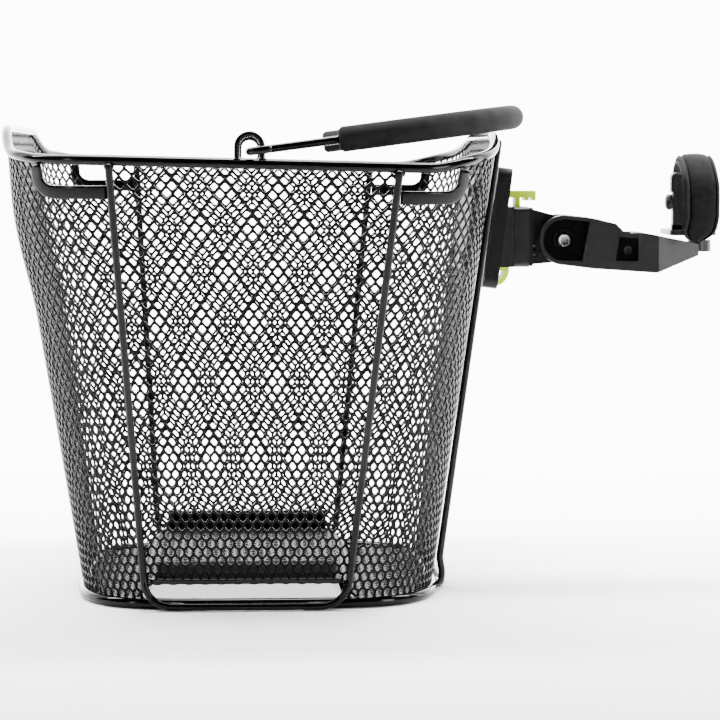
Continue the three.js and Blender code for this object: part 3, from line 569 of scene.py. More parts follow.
def in_window(points):
    """Which wall points are inside a strap window, up to the middle of the strip round it."""
    inside = np.zeros(len(points), bool)
    on_side = np.abs(points[:, 1]) > 90
    for inner, outer in WINDOWS.values():
        out, sill, far, bend_x = strip_bend(inner, outer)
        bend_z = sill + STRIP_BEND
        across = (points[:, 0] - inner) * out
        past = (points[:, 0] - bend_x) * out
        region = (across > -3.0) & ((points[:, 0] - far) * out < WINDOW_TRIM)
        region &= points[:, 2] > sill - WINDOW_TRIM
        corner = (past > 0) & (points[:, 2] < bend_z)
        rounded = np.hypot(past, points[:, 2] - bend_z) < STRIP_BEND + WINDOW_TRIM
        inside |= on_side & region & (~corner | rounded)
    return inside


def in_slot(points):
    x, z = points[:, 0], points[:, 2]
    low = z < SLOT_TOP + 1.2
    return low & (x > TUNNEL_FRONT + 1) & (x < TUNNEL_REAR - 1) & (np.abs(points[:, 1]) > SIDE_WALL_Y)


def lattice(rows, first_column, last_column, bond, place, keep, strand, thickness, stretch):
    """Expanded metal. A cell's corners are (column, row) numbers. place(column, row) gives points and
    outward normals, keep(points) says which cells are solid metal's, and stretch(column, row) is the
    size in millimetres of one column and one row there."""
    centres = []
    for row in range(rows):
        shift = 0.5 * (row % 2)
        for column in range(first_column, last_column):
            centres.append((column + shift, row))
    centres = np.array(centres, float)
    points, _ = place(centres[:, 0], centres[:, 1])
    kept = keep(points)
    centres = centres[kept]
    c, r = centres[:, 0], centres[:, 1]
    b0, b1, b2 = bond(r - 1), bond(r), bond(r + 1)
    corners = np.stack(
        [
            np.stack([c, r + 1 - b2], 1),
            np.stack([c - 0.5, r + b1], 1),
            np.stack([c - 0.5, r - b1], 1),
            np.stack([c, r - 1 + b0], 1),
            np.stack([c + 0.5, r - b1], 1),
            np.stack([c + 0.5, r + b1], 1),
        ],
        1,
    )
    size = stretch(c, r)
    flat = corners * size[:, None, :]
    following = np.roll(flat, -1, 1)
    preceding = np.roll(flat, 1, 1)
    def inward(edge):
        edge = unit(edge)
        return np.stack([-edge[..., 1], edge[..., 0]], -1)
    n_in = inward(flat - preceding)
    n_out = inward(following - flat)
    dot = (n_in * n_out).sum(-1, keepdims=True)
    inset = flat + strand * (n_in + n_out) / (1 + dot)
    before = inset + (np.roll(inset, 1, 1) - inset) * 0.2
    after = inset + (np.roll(inset, -1, 1) - inset) * 0.2
    hole = np.stack([before, after], 2).reshape(len(c), 12, 2)
    outer = corners.reshape(-1, 2)
    hole = (hole / size[:, None, :]).reshape(-1, 2)
    outer_p, outer_n = place(outer[:, 0], outer[:, 1])
    hole_p, hole_n = place(hole[:, 0], hole[:, 1])
    half = thickness / 2
    cells = len(c)
    stack = np.concatenate(
        [
            (outer_p + outer_n * half).reshape(cells, 6, 3),
            (hole_p + hole_n * half * 0.55).reshape(cells, 12, 3),
            (hole_p - hole_n * half * 0.55).reshape(cells, 12, 3),
            (outer_p - outer_n * half).reshape(cells, 6, 3),
        ],
        1,
    ).reshape(-1, 3)
    pattern = []
    for k in range(6):
        n = (k + 1) % 6
        a, b = 6 + 2 * k + 1, 6 + 2 * n
        pattern.append((k, n, b, a))
        pattern.append((n, 6 + 2 * n + 1, 6 + 2 * n, n))
        pattern.append((30 + k, 12 + a, 12 + b, 30 + n))
        pattern.append((30 + n, 12 + 6 + 2 * n, 12 + 6 + 2 * n + 1, 30 + n))
    for k in range(12):
        n = (k + 1) % 12
        pattern.append((6 + k, 6 + n, 18 + n, 18 + k))
    pattern = np.array(pattern)
    faces = (pattern[None] + 36 * np.arange(cells)[:, None, None]).reshape(-1, 4)
    rounded = np.round(stack * 500).astype(np.int64)
    _, first, back = np.unique(rounded, axis=0, return_index=True, return_inverse=True)
    back = back.ravel()
    faces = back[faces]
    # edges of the outer rings that only one cell has become the sheet's cut edge
    k = np.arange(6)
    n = (k + 1) % 6
    base = 36 * np.arange(cells)[:, None]
    front = np.stack([back[base + k], back[base + n]], -1).reshape(-1, 2)
    rear = np.stack([back[base + 30 + k], back[base + 30 + n]], -1).reshape(-1, 2)
    key = np.sort(front, 1)
    _, index, count = np.unique(key, axis=0, return_inverse=True, return_counts=True)
    single = count[index.ravel()] == 1
    rim = np.concatenate([front[single][:, ::-1], rear[single]], 1)
    all_faces = np.vstack([faces, rim]).tolist()
    clean = []
    for f in all_faces:
        g = list(dict.fromkeys(f))
        if len(g) > 2:
            clean.append(g)
    return stack[first], clean


row_share = np.concatenate([[0], np.cumsum(np.linspace(1.0, ROW_PITCH_TOP_TO_FOOT, WALL_ROWS))])
V_LOW, V_HIGH = -0.004, 1.008


def wall_row_v(row):
    """v of a wall's row number. Rows are taller near the foot."""
    share = np.interp(row + 0.5, np.arange(len(row_share)), row_share / row_share[-1])
    return V_LOW + (V_HIGH - V_LOW) * share


def wall_place(column, row):
    u, v = column / WALL_COLUMNS, wall_row_v(row)
    return wall(u, v), wall_normal(u, v)


def wall_bond(row):
    return BOND_FOOT + (BOND_TOP - BOND_FOOT) * np.sin(math.pi / 2 * np.clip(1.6 * row / WALL_ROWS, 0, 1))


def wall_stretch(column, row):
    u, v = column / WALL_COLUMNS, wall_row_v(row)
    step = wall(u + 0.5 / WALL_COLUMNS, v) - wall(u - 0.5 / WALL_COLUMNS, v)
    rise = wall(u, wall_row_v(row + 0.5)) - wall(u, wall_row_v(row - 0.5))
    return np.stack([np.linalg.norm(step, axis=1), np.linalg.norm(rise, axis=1)], 1)


def keep_wall(points):
    return ~(in_window(points) | in_slot(points))


def trim_slot_edge(points):
    """Cuts the half cells that hang over the foot slot flush with its hem."""
    over = (points[:, 0] > TUNNEL_FRONT) & (points[:, 0] < TUNNEL_REAR)
    over &= np.abs(points[:, 1]) > SIDE_WALL_Y
    over &= (points[:, 2] > SLOT_TOP - 6) & (points[:, 2] < SLOT_TOP + 0.8)
    points[over, 2] = SLOT_TOP + 0.8


WALL_QUARTERS = {"rear": -19, "right": 19, "front": 57, "left": 95}


def build_wall():
    for name, first in WALL_QUARTERS.items():
        points, faces = lattice(
            WALL_ROWS, first, first + WALL_COLUMNS // 4, wall_bond, wall_place, keep_wall, STRAND, SHEET,
            wall_stretch,
        )
        trim_slot_edge(points)
        piece = new_object(f"expanded_wall_{name}", points, faces)
        dress(piece, mesh_paint, "basket")
    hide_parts("mesh_wall")


FLOOR_CELL_X, FLOOR_CELL_Y = 4.6, 6.4
FLOOR_BOND, FLOOR_STRAND, FLOOR_SHEET = 0.22, 1.05, 1.6
FLOOR_EDGE_HEIGHT = 12.0


def floor_z(x):
    rise = (TUNNEL_TOP - FLOOR_Z) * np.clip((x - TUNNEL_FRONT + TUNNEL_RUN) / TUNNEL_RUN, 0, 1)
    fall = (TUNNEL_TOP - FLOOR_Z) * np.clip((x - TUNNEL_REAR) / TUNNEL_RUN, 0, 1)
    return FLOOR_Z - 0.6 + rise - fall


def floor_place(column, row):
    """Columns run along Y and rows along X, so the long diagonals lie across the bicycle."""
    x = RING_FRONT + row * FLOOR_CELL_X
    y = -RING_HALF + column * FLOOR_CELL_Y
    points = np.stack([x, y, floor_z(x)], -1)
    slope = (floor_z(x + 0.5) - floor_z(x - 0.5))
    normals = unit(np.stack([slope, np.zeros_like(x), -np.ones_like(x)], -1))
    return points, normals


def keep_floor(points):
    inset = RING_RADIUS - 1
    cx = (RING_FRONT + RING_REAR) / 2
    a = (RING_REAR - RING_FRONT) / 2 - inset
    b = RING_HALF - inset
    share = np.abs((points[:, 0] - cx) / a) ** RING_POWER + np.abs(points[:, 1] / b) ** RING_POWER
    raised = (points[:, 0] > TUNNEL_FRONT - 4) & (points[:, 0] < TUNNEL_REAR + 4)
    return (share < 0.98) & ~(raised & (np.abs(points[:, 1]) > RING_HALF - 5))


def build_floor():
    rows = int((RING_REAR - RING_FRONT) / FLOOR_CELL_X) + 2
    columns = int(2 * RING_HALF / FLOOR_CELL_Y) + 2
    points, faces = lattice(
        rows, 0, columns, lambda row: np.full(np.shape(row), FLOOR_BOND), floor_place, keep_floor,
        FLOOR_STRAND, FLOOR_SHEET, lambda c, r: np.tile([FLOOR_CELL_Y, FLOOR_CELL_X], (len(c), 1)),
    )
    floor = new_object("expanded_floor", points, faces)
    dress(floor, mesh_paint, "basket", ["mesh_floor"])


def build_floor_edge(name, side):
    """The raised floor's edge, a plain strip folded up against the wall. Its outer face gets the lighter
    moulded material as painted light; its inner face keeps the black paint.
    """
    y = side * (RING_HALF - RING_RADIUS - GAP - 2)
    low, high = TUNNEL_TOP - 0.5, TUNNEL_TOP + FLOOR_EDGE_HEIGHT
    path = [(x, y, (low + high) / 2) for x in np.linspace(TUNNEL_FRONT + 3, TUNNEL_REAR - 3, 30)]
    section = rounded_rectangle(0.6, (high - low) / 2, 0.5)
    edge = bar(f"floor_edge_{name}", path, section, reference=(0, 0, 1))
    dress(edge, mesh_paint, "basket")
    # the outer faces get the lighter moulded material: painted light on the strip's outside
    edge.data.materials.append(moulded)
    for face in edge.data.polygons:
        face.material_index = int(face.center[1] / MM * side > y * side + 0.4)


def build_hem(name, side):
    """The smooth strip that closes the wall's cut edge over the foot slot."""
    path = []
    for x in np.linspace(TUNNEL_FRONT - 1, TUNNEL_REAR + 1, 40):
        _, point = wall_at(SLOT_TOP + 0.6, 0, x, side)
        path.append(point)
    section = rounded_rectangle(0.9, 1.5, 0.6)
    hem = bar(f"slot_hem_{name}", path, section, reference=(0, 0, 1))
    dress_wire(hem)


# ---------------------------------------------------------------- wires


def ring_height(x, _y):
    return np.full_like(x, RING_RADIUS)


def build_loop(name, table, height, radius, count, node):
    """A closed wire along one of the basket's outlines, of count points."""
    x, y = on_outline(table, np.arange(count) / count)
    path = np.stack([x, y, height(x, y)], 1)
    dress_wire(wire(name, path, radius, closed=True, reference=(0, 0, 1), sides=28), node)


SIDE_LEGS = (PIVOT[0] - 75.8, PIVOT[0] + 81)
SIDE_FEET = (PIVOT[0] - 60, PIVOT[0] + 54.5)
REAR_LEG_Y, REAR_FOOT_Y = 70.0, 48.0
LEG_TOP_DROP = 3.4  # from the rim's middle down to a leg's end
LEG_OFFSET = 0.8 + GAP + FRAME_RADIUS
FOOT_OFFSET = RING_RADIUS / OCTAGON + 2 * GAP + FRAME_RADIUS
FRAME_CORNER = 17.0
FRAME_FOOT_Z = FRAME_RADIUS + GAP


def stand_off(z):
    return FOOT_OFFSET + (LEG_OFFSET - FOOT_OFFSET) * float(smooth_step((z - 8) / 14))


def frame_path(tops, feet, surface):
    """Down one leg, round two corners and up the other."""
    corners = [
        (tops[0][0], tops[0][1], 0),
        (feet[0], FRAME_FOOT_Z, 0),
        (feet[1], FRAME_FOOT_Z, 0),
        (tops[1][0], tops[1][1], 0),
    ]
    flat = resample(rounded_path(corners, FRAME_CORNER, 14), 2.2)
    return np.array([surface(a, z) for a, z, _ in flat])


def build_frame(name, node, tops, feet, axis, side):
    """A U-shaped wire outside the wall. Its legs stand apart along axis, 0 for X and 1 for Y."""
    outward = np.eye(3)[1 - axis]
    def surface(place, z):
        _, point = wall_at(z, axis, place, side)
        return point + outward * side * stand_off(z)
    path = frame_path(tops, feet, surface)
    dress_wire(wire(name, path, FRAME_RADIUS, reference=outward), node)


def build_side_frame(name, side):
    tops = [(x, float(rim_height(x, RIM_HALF)) - LEG_TOP_DROP) for x in SIDE_LEGS]
    build_frame(f"side_wire_{name}", f"side_frame_{name}", tops, SIDE_FEET, 0, side)


def build_rear_frame():
    top = float(rim_height(RIM_REAR, REAR_LEG_Y)) - LEG_TOP_DROP
    tops = [(-REAR_LEG_Y, top), (REAR_LEG_Y, top)]
    build_frame("rear_wire", "rear_frame", tops, (-REAR_FOOT_Y, REAR_FOOT_Y), 1, np.sign(RIM_REAR))


def build_strip(end, name, side):
    """The flat strip under a strap window, which turns up to the rim at its outer end."""
    inner, outer = WINDOWS[end]
    out, sill, far, centre = strip_bend(inner, outer)
    angles = np.linspace(0, math.pi / 2, 12)
    flat = [(inner - out * 2.4, sill)]
    flat += [(x, sill) for x in np.linspace(inner, centre, 8)[1:-1]]
    flat += [
        (centre + out * STRIP_BEND * math.sin(a), sill + STRIP_BEND * (1 - math.cos(a))) for a in angles
    ]
    flat += [(far + out * t, sill + STRIP_BEND + (WINDOW_HEIGHT - 3) * t) for t in (0.5, 1.0)]
    path, normals = [], []
    for x, z in flat:
        u, point = wall_at(min(z, rim_over(x) - RIM_RADIUS - 0.5), 0, x, side)
        normal = wall_normal(np.array([u]), np.clip(wall_v(np.array([u]), z), 0, 1))[0]
        path.append(point + normal * 2.2)
        normals.append(normal)
    path, normals = np.array(path), np.array(normals)
    along = tangents(path, False)
    broad = unit(np.cross(along, normals))
    section = rounded_rectangle(STRIP_THICKNESS / 2, STRIP_WIDTH / 2, 1.05)
    rings = path[:, None] + section[None, :, 0:1] * normals[:, None]
    rings = rings + section[None, :, 1:2] * broad[:, None]
    strip = new_object(
        f"{end}_window_strip_{name}", rings.reshape(-1, 3), skin_faces(len(path), len(section), False)
    )
    dress_wire(strip, f"{end}_strip_{name}")


def build_eye(name, side):
    low, high = cad_box(f"handle_eye_{name}")
    y = side * RIM_HALF
    top = high[2] - EYE_RADIUS
    radius = (high[0] - low[0]) / 2 - EYE_RADIUS
    angles = np.linspace(math.pi, 0, 25)
    foot = float(rim_height(PIVOT[0], RIM_HALF))
    path = [(PIVOT[0] - radius, y, foot)]
    path += [(PIVOT[0] + radius * math.cos(a), y, top - radius + radius * math.sin(a)) for a in angles]
    path += [(PIVOT[0] + radius, y, foot)]
    path = resample(path, 0.8)
    eye = wire(f"eye_wire_{name}", path, EYE_RADIUS, reference=(0, 1, 0))
    beads = [weld(f"eye_weld_{name}_{i}", (PIVOT[0] + s * radius, y, foot + 2.2), (2.6, 2.4, 1.6))
             for i, s in enumerate((-1, 1))]
    eye = merge(f"eye_wire_{name}", [eye, *beads])
    dress_wire(eye, f"handle_eye_{name}")


def weld(name, centre, radii):
    """A small weld bead."""
    angles = np.linspace(0, math.pi, 9)[1:-1]
    rings = []
    for a in angles:
        turn = np.arange(12) * math.pi / 6
        ring = np.stack([np.sin(a) * np.cos(turn), np.sin(a) * np.sin(turn), np.full(12, math.cos(a))], 1)
        rings.append(ring * radii)
    points = np.vstack(rings) + np.asarray(centre)
    return new_object(name, points, skin_faces(len(rings), 12, False))


def build_frame_welds():
    """Fillets where the frames' legs meet the rim and where their feet run along the ring."""
    beads = []
    for side in (-1, 1):
        for x in SIDE_LEGS:
            z = float(rim_height(x, RIM_HALF))
            _, point = wall_at(z - 4.5, 0, x, side)
            beads.append(weld("bead", (x, point[1] + side * 2.2, z - 3.2), (2.9, 2.0, 2.2)))
        for x in (PIVOT[0] - 44, PIVOT[0] + 38):
            _, point = wall_at(4.0, 0, x, side)
            beads.append(weld("bead", (x, point[1] + side * 3.2, 3.0), (9.0, 2.6, 1.9)))
    for y in (-REAR_LEG_Y, REAR_LEG_Y):
        z = float(rim_height(RIM_REAR, y))
        _, point = wall_at(z - 4.5, 1, y, np.sign(RIM_REAR))
        beads.append(weld("bead", (point[0] + 2.4, y, z - 3.6), (2.2, 4.0, 3.0)))
    for y in (-34, 34):
        _, point = wall_at(4.0, 1, y, np.sign(RIM_REAR))
        beads.append(weld("bead", (point[0] + 3.2, y, 3.0), (2.6, 8.0, 1.9)))
    dress_wire(merge("frame_welds", beads))


# ---------------------------------------------------------------- carry handle

GRIP_START, GRIP_TIP, GRIP_HALF, GRIP_POWER, GRIP_RADIUS = 49.5, 157.8, 151.0, 2.5, 7.0
HANDLE_TILT = math.radians(7.5)
HOOK_RADIUS, HOOK_LENGTH = 4.3, 10.0


def handle_point(reach, y):
    along, up = reach * math.cos(HANDLE_TILT), reach * math.sin(HANDLE_TILT)
    return np.array([PIVOT[0] + along, y, PIVOT[2] + up])


def grip_arch(steps):
    points = []
    for angle in np.linspace(-math.pi / 2, math.pi / 2, steps + 1):
        c, s = math.cos(angle), math.sin(angle)
        reach = GRIP_START + (GRIP_TIP - GRIP_START) * abs(c) ** (2 / GRIP_POWER)
        points.append(handle_point(reach, GRIP_HALF * math.copysign(abs(s) ** (2 / GRIP_POWER), s)))
    return np.array(points)


def hook_points(side):
    y = side * RIM_HALF
    points = [handle_point(HOOK_LENGTH, y + side * HOOK_RADIUS)]
    for i in range(13):
        angle = math.pi / 2 + i * math.pi / 12
        points.append(
            handle_point(HOOK_RADIUS * (1 + math.cos(angle)), y + side * HOOK_RADIUS * math.sin(angle))
        )
    return points


hinge_line = handle_point(0, 1) - handle_point(0, 0)
handle_normal = unit(np.cross(hinge_line, handle_point(1, 0) - handle_point(0, 0)))


def build_bail():
    arch = resample(grip_arch(400), 6)
    path = np.vstack([hook_points(-1), arch, hook_points(1)[::-1]])
    path = resample(spline(path, 5), 1.6)
    bail = wire("bail_wire", path, BAIL_RADIUS, reference=handle_normal)
    dress(bail, gloss_paint, "handle", ["handle_bail"])


def build_grip():
    path = resample(grip_arch(600), 2.0)
    length = np.arange(len(path)) * 2.0
    edge = np.minimum(length, length[::-1])
    radii = GRIP_RADIUS - 1.6 * (1 - np.sqrt(np.clip(1 - (1 - np.clip(edge / 1.8, 0, 1)) ** 2, 0, 1)))
    sections = np.stack([circle(r, 40) for r in radii])
    rings = sweep(path, sections, False, handle_normal)
    inner = sweep(path, circle(BAIL_RADIUS + 0.1, 40), False, handle_normal)
    stack = np.vstack([rings, inner[::-1]])
    grip = new_object("foam_grip", stack.reshape(-1, 3), skin_faces(len(stack), 40, True))
    dress(grip, foam, "handle", ["handle_grip"])


# ---------------------------------------------------------------- CAD pieces that keep their shape


def finish_nodes():
    """Rounds the edges of moulded and turned pieces and gives them their surfaces."""
    node = frame["nodes"]
    plastic = {
        "front_plate": 0.5, "back_plate": 1.4, "clamp_plate": 0.9, "adapter_housing": 0.8,
        "adapter_cover": 0.9, "adapter_neck": 0.8, "stem_saddle": 0.8, "cross_spacer": 0.3,
        "arm_cheek_left": 0.7, "arm_cheek_right": 0.7, "strap_buckle": 0.6,
    }
    for name, width in plastic.items():
        dark = name in ("back_plate", "clamp_plate", "adapter_neck", "strap_buckle")
        paint(node[name], smooth_plastic if dark else moulded)
        bevel(node[name], width)
    fixings = ("plate_screw", "neck_screw", "pivot_", "cross_bolt", "cross_nut")
    steel = [n for n in node if n.startswith(fixings)]
    for name in steel + ["latch_spring"]:
        paint(node[name], black_steel if name.startswith(("neck", "plate")) else zinc)
        if name != "latch_spring":
            bevel(node[name], 0.25)
    paint(node["release_slider"], lime)
    bevel(node["release_slider"], 0.4)


# ---------------------------------------------------------------- latch, bolts and arm


def boxes(name, corners, width):
    """A moulding made of overlapping boxes, each a low and a high corner."""
    parts = []
    for low, high in corners:
        x0, y0, z0 = low
        x1, y1, z1 = high
        points = [(x0, y0, z0), (x1, y0, z0), (x1, y1, z0), (x0, y1, z0)]
        points += [(x0, y0, z1), (x1, y0, z1), (x1, y1, z1), (x0, y1, z1)]
        faces = [(3, 2, 1, 0), (4, 5, 6, 7), (0, 1, 5, 4), (1, 2, 6, 5), (2, 3, 7, 6), (3, 0, 4, 7)]
        parts.append(new_object("part", points, faces))
    return bevel(merge(name, parts), width, 3)


def build_socket_bolt(name, node, head_y, head_radius, head_height, socket, end_y, shank, material):
    """A bolt along Y with a socket in its head, turned round though the real socket is six-sided. The
    head faces the bicycle's left.
    """
    low, high = cad_box(node)
    x, z = (low[0] + high[0]) / 2, (low[2] + high[2]) / 2
    top = head_y - head_height
    body = lathe(
        "body",
        [(head_y - top, shank + 0.4), (head_y - top, head_radius), (0.5, head_radius),
         (0, head_radius - 0.5), (0, socket + 0.35), (0.12, socket + 0.2), (0.3, socket), (1.6, socket * 0.97), (1.7, 0.0)],
        (x, top, z), (0, 1, 0), 36,
    )
    stem = lathe("stem", [(0, shank), (end_y - head_y, shank)], (x, head_y - 0.05, z), (0, 1, 0), 24)
    bolt = dress(sharpen(merge(name, [body, stem]), 40), material, "arm", [node])
    bolt.data.materials.append(deep_black_and_shade)
    # faces inside the socket get the deeper black, as painted shade in the hollow
    for face in bolt.data.polygons:
        from_axis = math.hypot(face.center[0] / MM - x, face.center[2] / MM - z)
        inside = head_y + 0.35 < face.center[1] / MM < head_y + 2
        face.material_index = int(from_axis < socket and inside)


RECESS_Y = 14.0  # the floors of the cheeks' recesses, out from the arm's middle
BOLT_END_Y = 16.2
BOSS_PROFILE = [(-0.4, 6.9), (0.3, 6.9), (0.62, 6.6), (0.62, 5.6), (0.3, 5.2), (-0.4, 5.2), (-0.4, 6.9)]


def build_bolts():
    head_y = -RECESS_Y - GAP
    pivot_sizes = (3.9, 1.9, 2.1, BOLT_END_Y, 2.5)
    cross_sizes = (2.8, 1.2, 1.75, BOLT_END_Y, 1.5)
    build_socket_bolt("pivot_socket_bolt", "pivot_bolt", head_y, *pivot_sizes, zinc)
    build_socket_bolt("cross_socket_bolt", "cross_bolt", head_y, *cross_sizes, black_steel)
    for side, name in ((-1, "left"), (1, "right")):
        centre = (ARM_PIVOT[0], side * RECESS_Y, ARM_PIVOT[2])
        ring = lathe(f"pivot_boss_{name}", BOSS_PROFILE, centre, (0, side, 0), 48)
        dress(sharpen(ring, 45), deep_black_and_shade, "arm")


def build_neck_screws():
    for name in ("left", "right"):
        low, high = cad_box(f"neck_screw_{name}")
        middle = (low + high) / 2
        radius = (high[2] - low[2]) / 2
        head, length = 2.4, high[0] - low[0]
        profile = [(0, 0.0), (0.1, radius * 0.5), (0, radius - 0.6), (0.5, radius), (head, radius)]
        profile += [(head, radius * 0.46), (length, radius * 0.46), (length, 0.0)]
        screw = lathe(f"neck_bolt_{name}", profile, (high[0], middle[1], middle[2]), (-1, 0, 0), 32)
        dress(sharpen(screw, 40), deep_black_and_shade, "adapter", [f"neck_screw_{name}"])


def paint_recess_shade():
    """The recesses' floors are painted a smoother, deeper black than the cheeks, as painted shade in the
    recesses.
    """
    for name in ("arm_cheek_left", "arm_cheek_right"):
        mesh = frame["nodes"][name].data
        mesh.materials.append(deep_black_and_shade)
        for face in mesh.polygons:
            if abs(abs(face.center[1]) / MM - RECESS_Y) < 0.05 and abs(face.normal[1]) > 0.9:
                # each recess floor gets the deeper black: painted shade
                face.material_index = 1


PAD_FRONT, PAD_REAR = PIVOT[0] + 262.2, PIVOT[0] + 282.2
PAD_HALF_LOOP, PAD_MIDDLE_Z, PAD_RISE, PAD_THICKNESS = 24.0, 232.0, 22.9, 4.2
PAD_LEFT_END, PAD_RIGHT_END = 206.4, 213.6
PAD_TONGUE = 8.4  # length of the rounded end
WEBBING_FRONT, WEBBING_REAR, WEBBING_THICKNESS = PIVOT[0] + 261, PIVOT[0] + 276, 1.8
STITCH_PITCH, STITCH_LENGTH, STITCH_RADIUS, STITCH_INSET = 2.6, 1.5, 0.3, 2.75


def loop_line(grow, left_end, right_end):
    """The line of a band round the stem, from its left end over the top to its right end, in Y and Z."""
    half = PAD_HALF_LOOP + grow
    points = [(-half, z) for z in np.linspace(left_end, PAD_MIDDLE_Z, 16)[:-1]]
    for angle in np.radians(np.linspace(180, 0, 61)):
        points.append((half * math.cos(angle), PAD_MIDDLE_Z + (PAD_RISE + grow) * math.sin(angle)))
    points += [(half, z) for z in np.linspace(PAD_MIDDLE_Z, right_end, 12)[1:]]
    return np.array(points)


def lean(y, z):
    """How far forward the worn strap has shifted."""
    low = np.clip((222 - z) / 15, 0, 1) ** 1.5 * 4.0 * (y < 0)
    high = np.clip((z - 240) / 18, 0, 1) * 1.8
    return -(low + high)


def band(name, line, section_at, front, rear, tongue=0.0):
    """A band along a line in Y and Z. section_at(width share) gives its outline as (share of the half
    width, height off the line)."""
    step = np.linalg.norm(np.gradient(line, axis=0), axis=1)
    along = np.concatenate([[0], np.cumsum(np.linalg.norm(np.diff(line, axis=0), axis=1))])
    direction = np.gradient(line, axis=0) / step[:, None]
    outward = np.stack([-direction[:, 1], direction[:, 0]], 1)
    middle, half = (front + rear) / 2, (rear - front) / 2
    rings = []
    for i, (y, z) in enumerate(line):
        share = 1.0
        if tongue:
            t = min(1.0, (along[i] + 0.35) / tongue)
            share = math.sqrt(max(0.0, 1 - (1 - t) ** 2))
        ring = []
        for a, u in section_at(share):
            ring.append(
                (middle + a * half * share + lean(y, z), y + outward[i][0] * u, z + outward[i][1] * u)
            )
        rings.append(ring)
    count = len(rings[0])
    return new_object(name, np.array(rings).reshape(-1, 3), skin_faces(len(rings), count, False))


def pad_section(share):
    """Piped edges, a stitched groove inside them, and a stuffed middle."""
    w = (PAD_REAR - PAD_FRONT) / 2 * share
    pipe = min(2.1, w * 0.4) / w
    outline = [(-1.0, 1.2), (-1.0 + pipe * 0.1, 2.5), (-1.0 + pipe * 0.45, 3.1)]
    outline += [(-1.0 + pipe * 0.85, 2.6)]
    outline += [(-1.0 + pipe * 1.08, 1.5), (-1.0 + pipe * 1.35, 2.9), (-1.0 + pipe * 1.9, 3.8)]
    outline += [(-0.25, PAD_THICKNESS)]
    mirrored = [(-a, u) for a, u in outline[::-1]]
    under = [(0.9, 0.0), (0.4, -0.1), (-0.4, -0.1), (-0.9, 0.0)]
    return outline + mirrored + under


def webbing_section(_share):
    """A flat band with a slightly raised middle, the same along its whole length."""
    top = WEBBING_THICKNESS
    upper = [(-1.0, 0.3), (-0.96, top), (-0.4, top + 0.05), (0.4, top + 0.05), (0.96, top), (1.0, 0.3)]
    return [*upper, (0.96, 0), (-0.96, 0)]


def stitches(name, line, offset, front, rear):
    """Small thread stitches along the pad's grooves."""
    parts = []
    along = np.concatenate([[0], np.cumsum(np.linalg.norm(np.diff(line, axis=0), axis=1))])
    for edge in (-1, 1):
        for s in np.arange(11, along[-1] - 3, STITCH_PITCH):
            y, z = (np.interp(s, along, line[:, k]) for k in range(2))
            y2, z2 = (np.interp(s + STITCH_LENGTH, along, line[:, k]) for k in range(2))
            direction = unit(np.array([y2 - y, z2 - z]))
            out = np.array([-direction[1], direction[0]]) * offset
            x = (front + rear) / 2 + edge * ((rear - front) / 2 - STITCH_INSET) + lean(y, z)
            start = np.array([x, y + out[0], z + out[1]])
            end = np.array([x, y2 + out[0], z2 + out[1]])
            parts.append(wire("stitch", [start, (start + end) / 2, end], STITCH_RADIUS, sides=8))
    return merge(name, parts)


def build_strap():
    pad_line = loop_line(0.0, PAD_LEFT_END, PAD_RIGHT_END)
    pad = band("padded_strap", pad_line, pad_section, PAD_FRONT, PAD_REAR, PAD_TONGUE)
    dress(pad, quilt, "arm", ["strap_padded"])
    pad.data.materials.append(piping)
    pad.data.materials.append(groove)
    sides = len(pad_section(1.0))
    for face in pad.data.polygons[: len(pad.data.vertices) - sides]:
        place = face.index % sides
        place = min(place, 14 - place) if place < 15 else 0
        # piping faces get the piping cloth; groove faces get the near-black groove cloth as painted shade
        face.material_index = 1 if place < 3 else 2 if place < 5 else 0
    thread = stitches("strap_stitches", pad_line, 1.75, PAD_FRONT, PAD_REAR)
    dress(thread, piping, "arm")
    inner_line = loop_line(-2.1, PAD_RIGHT_END + 0.4, PAD_RIGHT_END + 0.4)
    inner = band("webbing", inner_line, webbing_section, WEBBING_FRONT, WEBBING_REAR)
    dress(inner, piping, "arm", ["strap_inner"])


BUCKLE_TEETH, TOOTH_PITCH, TOOTH_HEIGHT = 4, 2.6, 1.3
KNUCKLE_PROFILE = [(0, 1.2), (0, 2.9), (0.4, 3.3), (6.4, 3.3), (6.8, 2.9), (6.8, 1.2)]


def build_buckle():
    """The cam buckle between the strap and the saddle, with its knuckle and serrated back."""
    low, high = cad_box("strap_buckle")
    x0, y0, z0 = low
    x1, y1, z1 = high
    parts = [((x0 + 0.6, y0, z0 - 0.2), (x1 + 4.2, y1, z0 + 3.2))]
    for i in range(BUCKLE_TEETH):
        z = z1 - 21 + TOOTH_PITCH * i
        parts.append(((x0 + 1.0, y0 + 0.8, z), (x0 + 2.8, y1 - 0.8, z + TOOTH_HEIGHT)))
    trim = boxes("buckle_trim", parts, 0.35)
    dress(trim, smooth_plastic, "arm")
    centre = (x0 + 3.4, y0 - 0.3, z1 - 2.6)
    knuckle = lathe("buckle_knuckle", KNUCKLE_PROFILE, centre, (0, 1, 0), 28)
    dress(sharpen(knuckle, 40), smooth_plastic, "arm")


KNOB_FLUTES, FLUTE_DEPTH = 12, 0.05


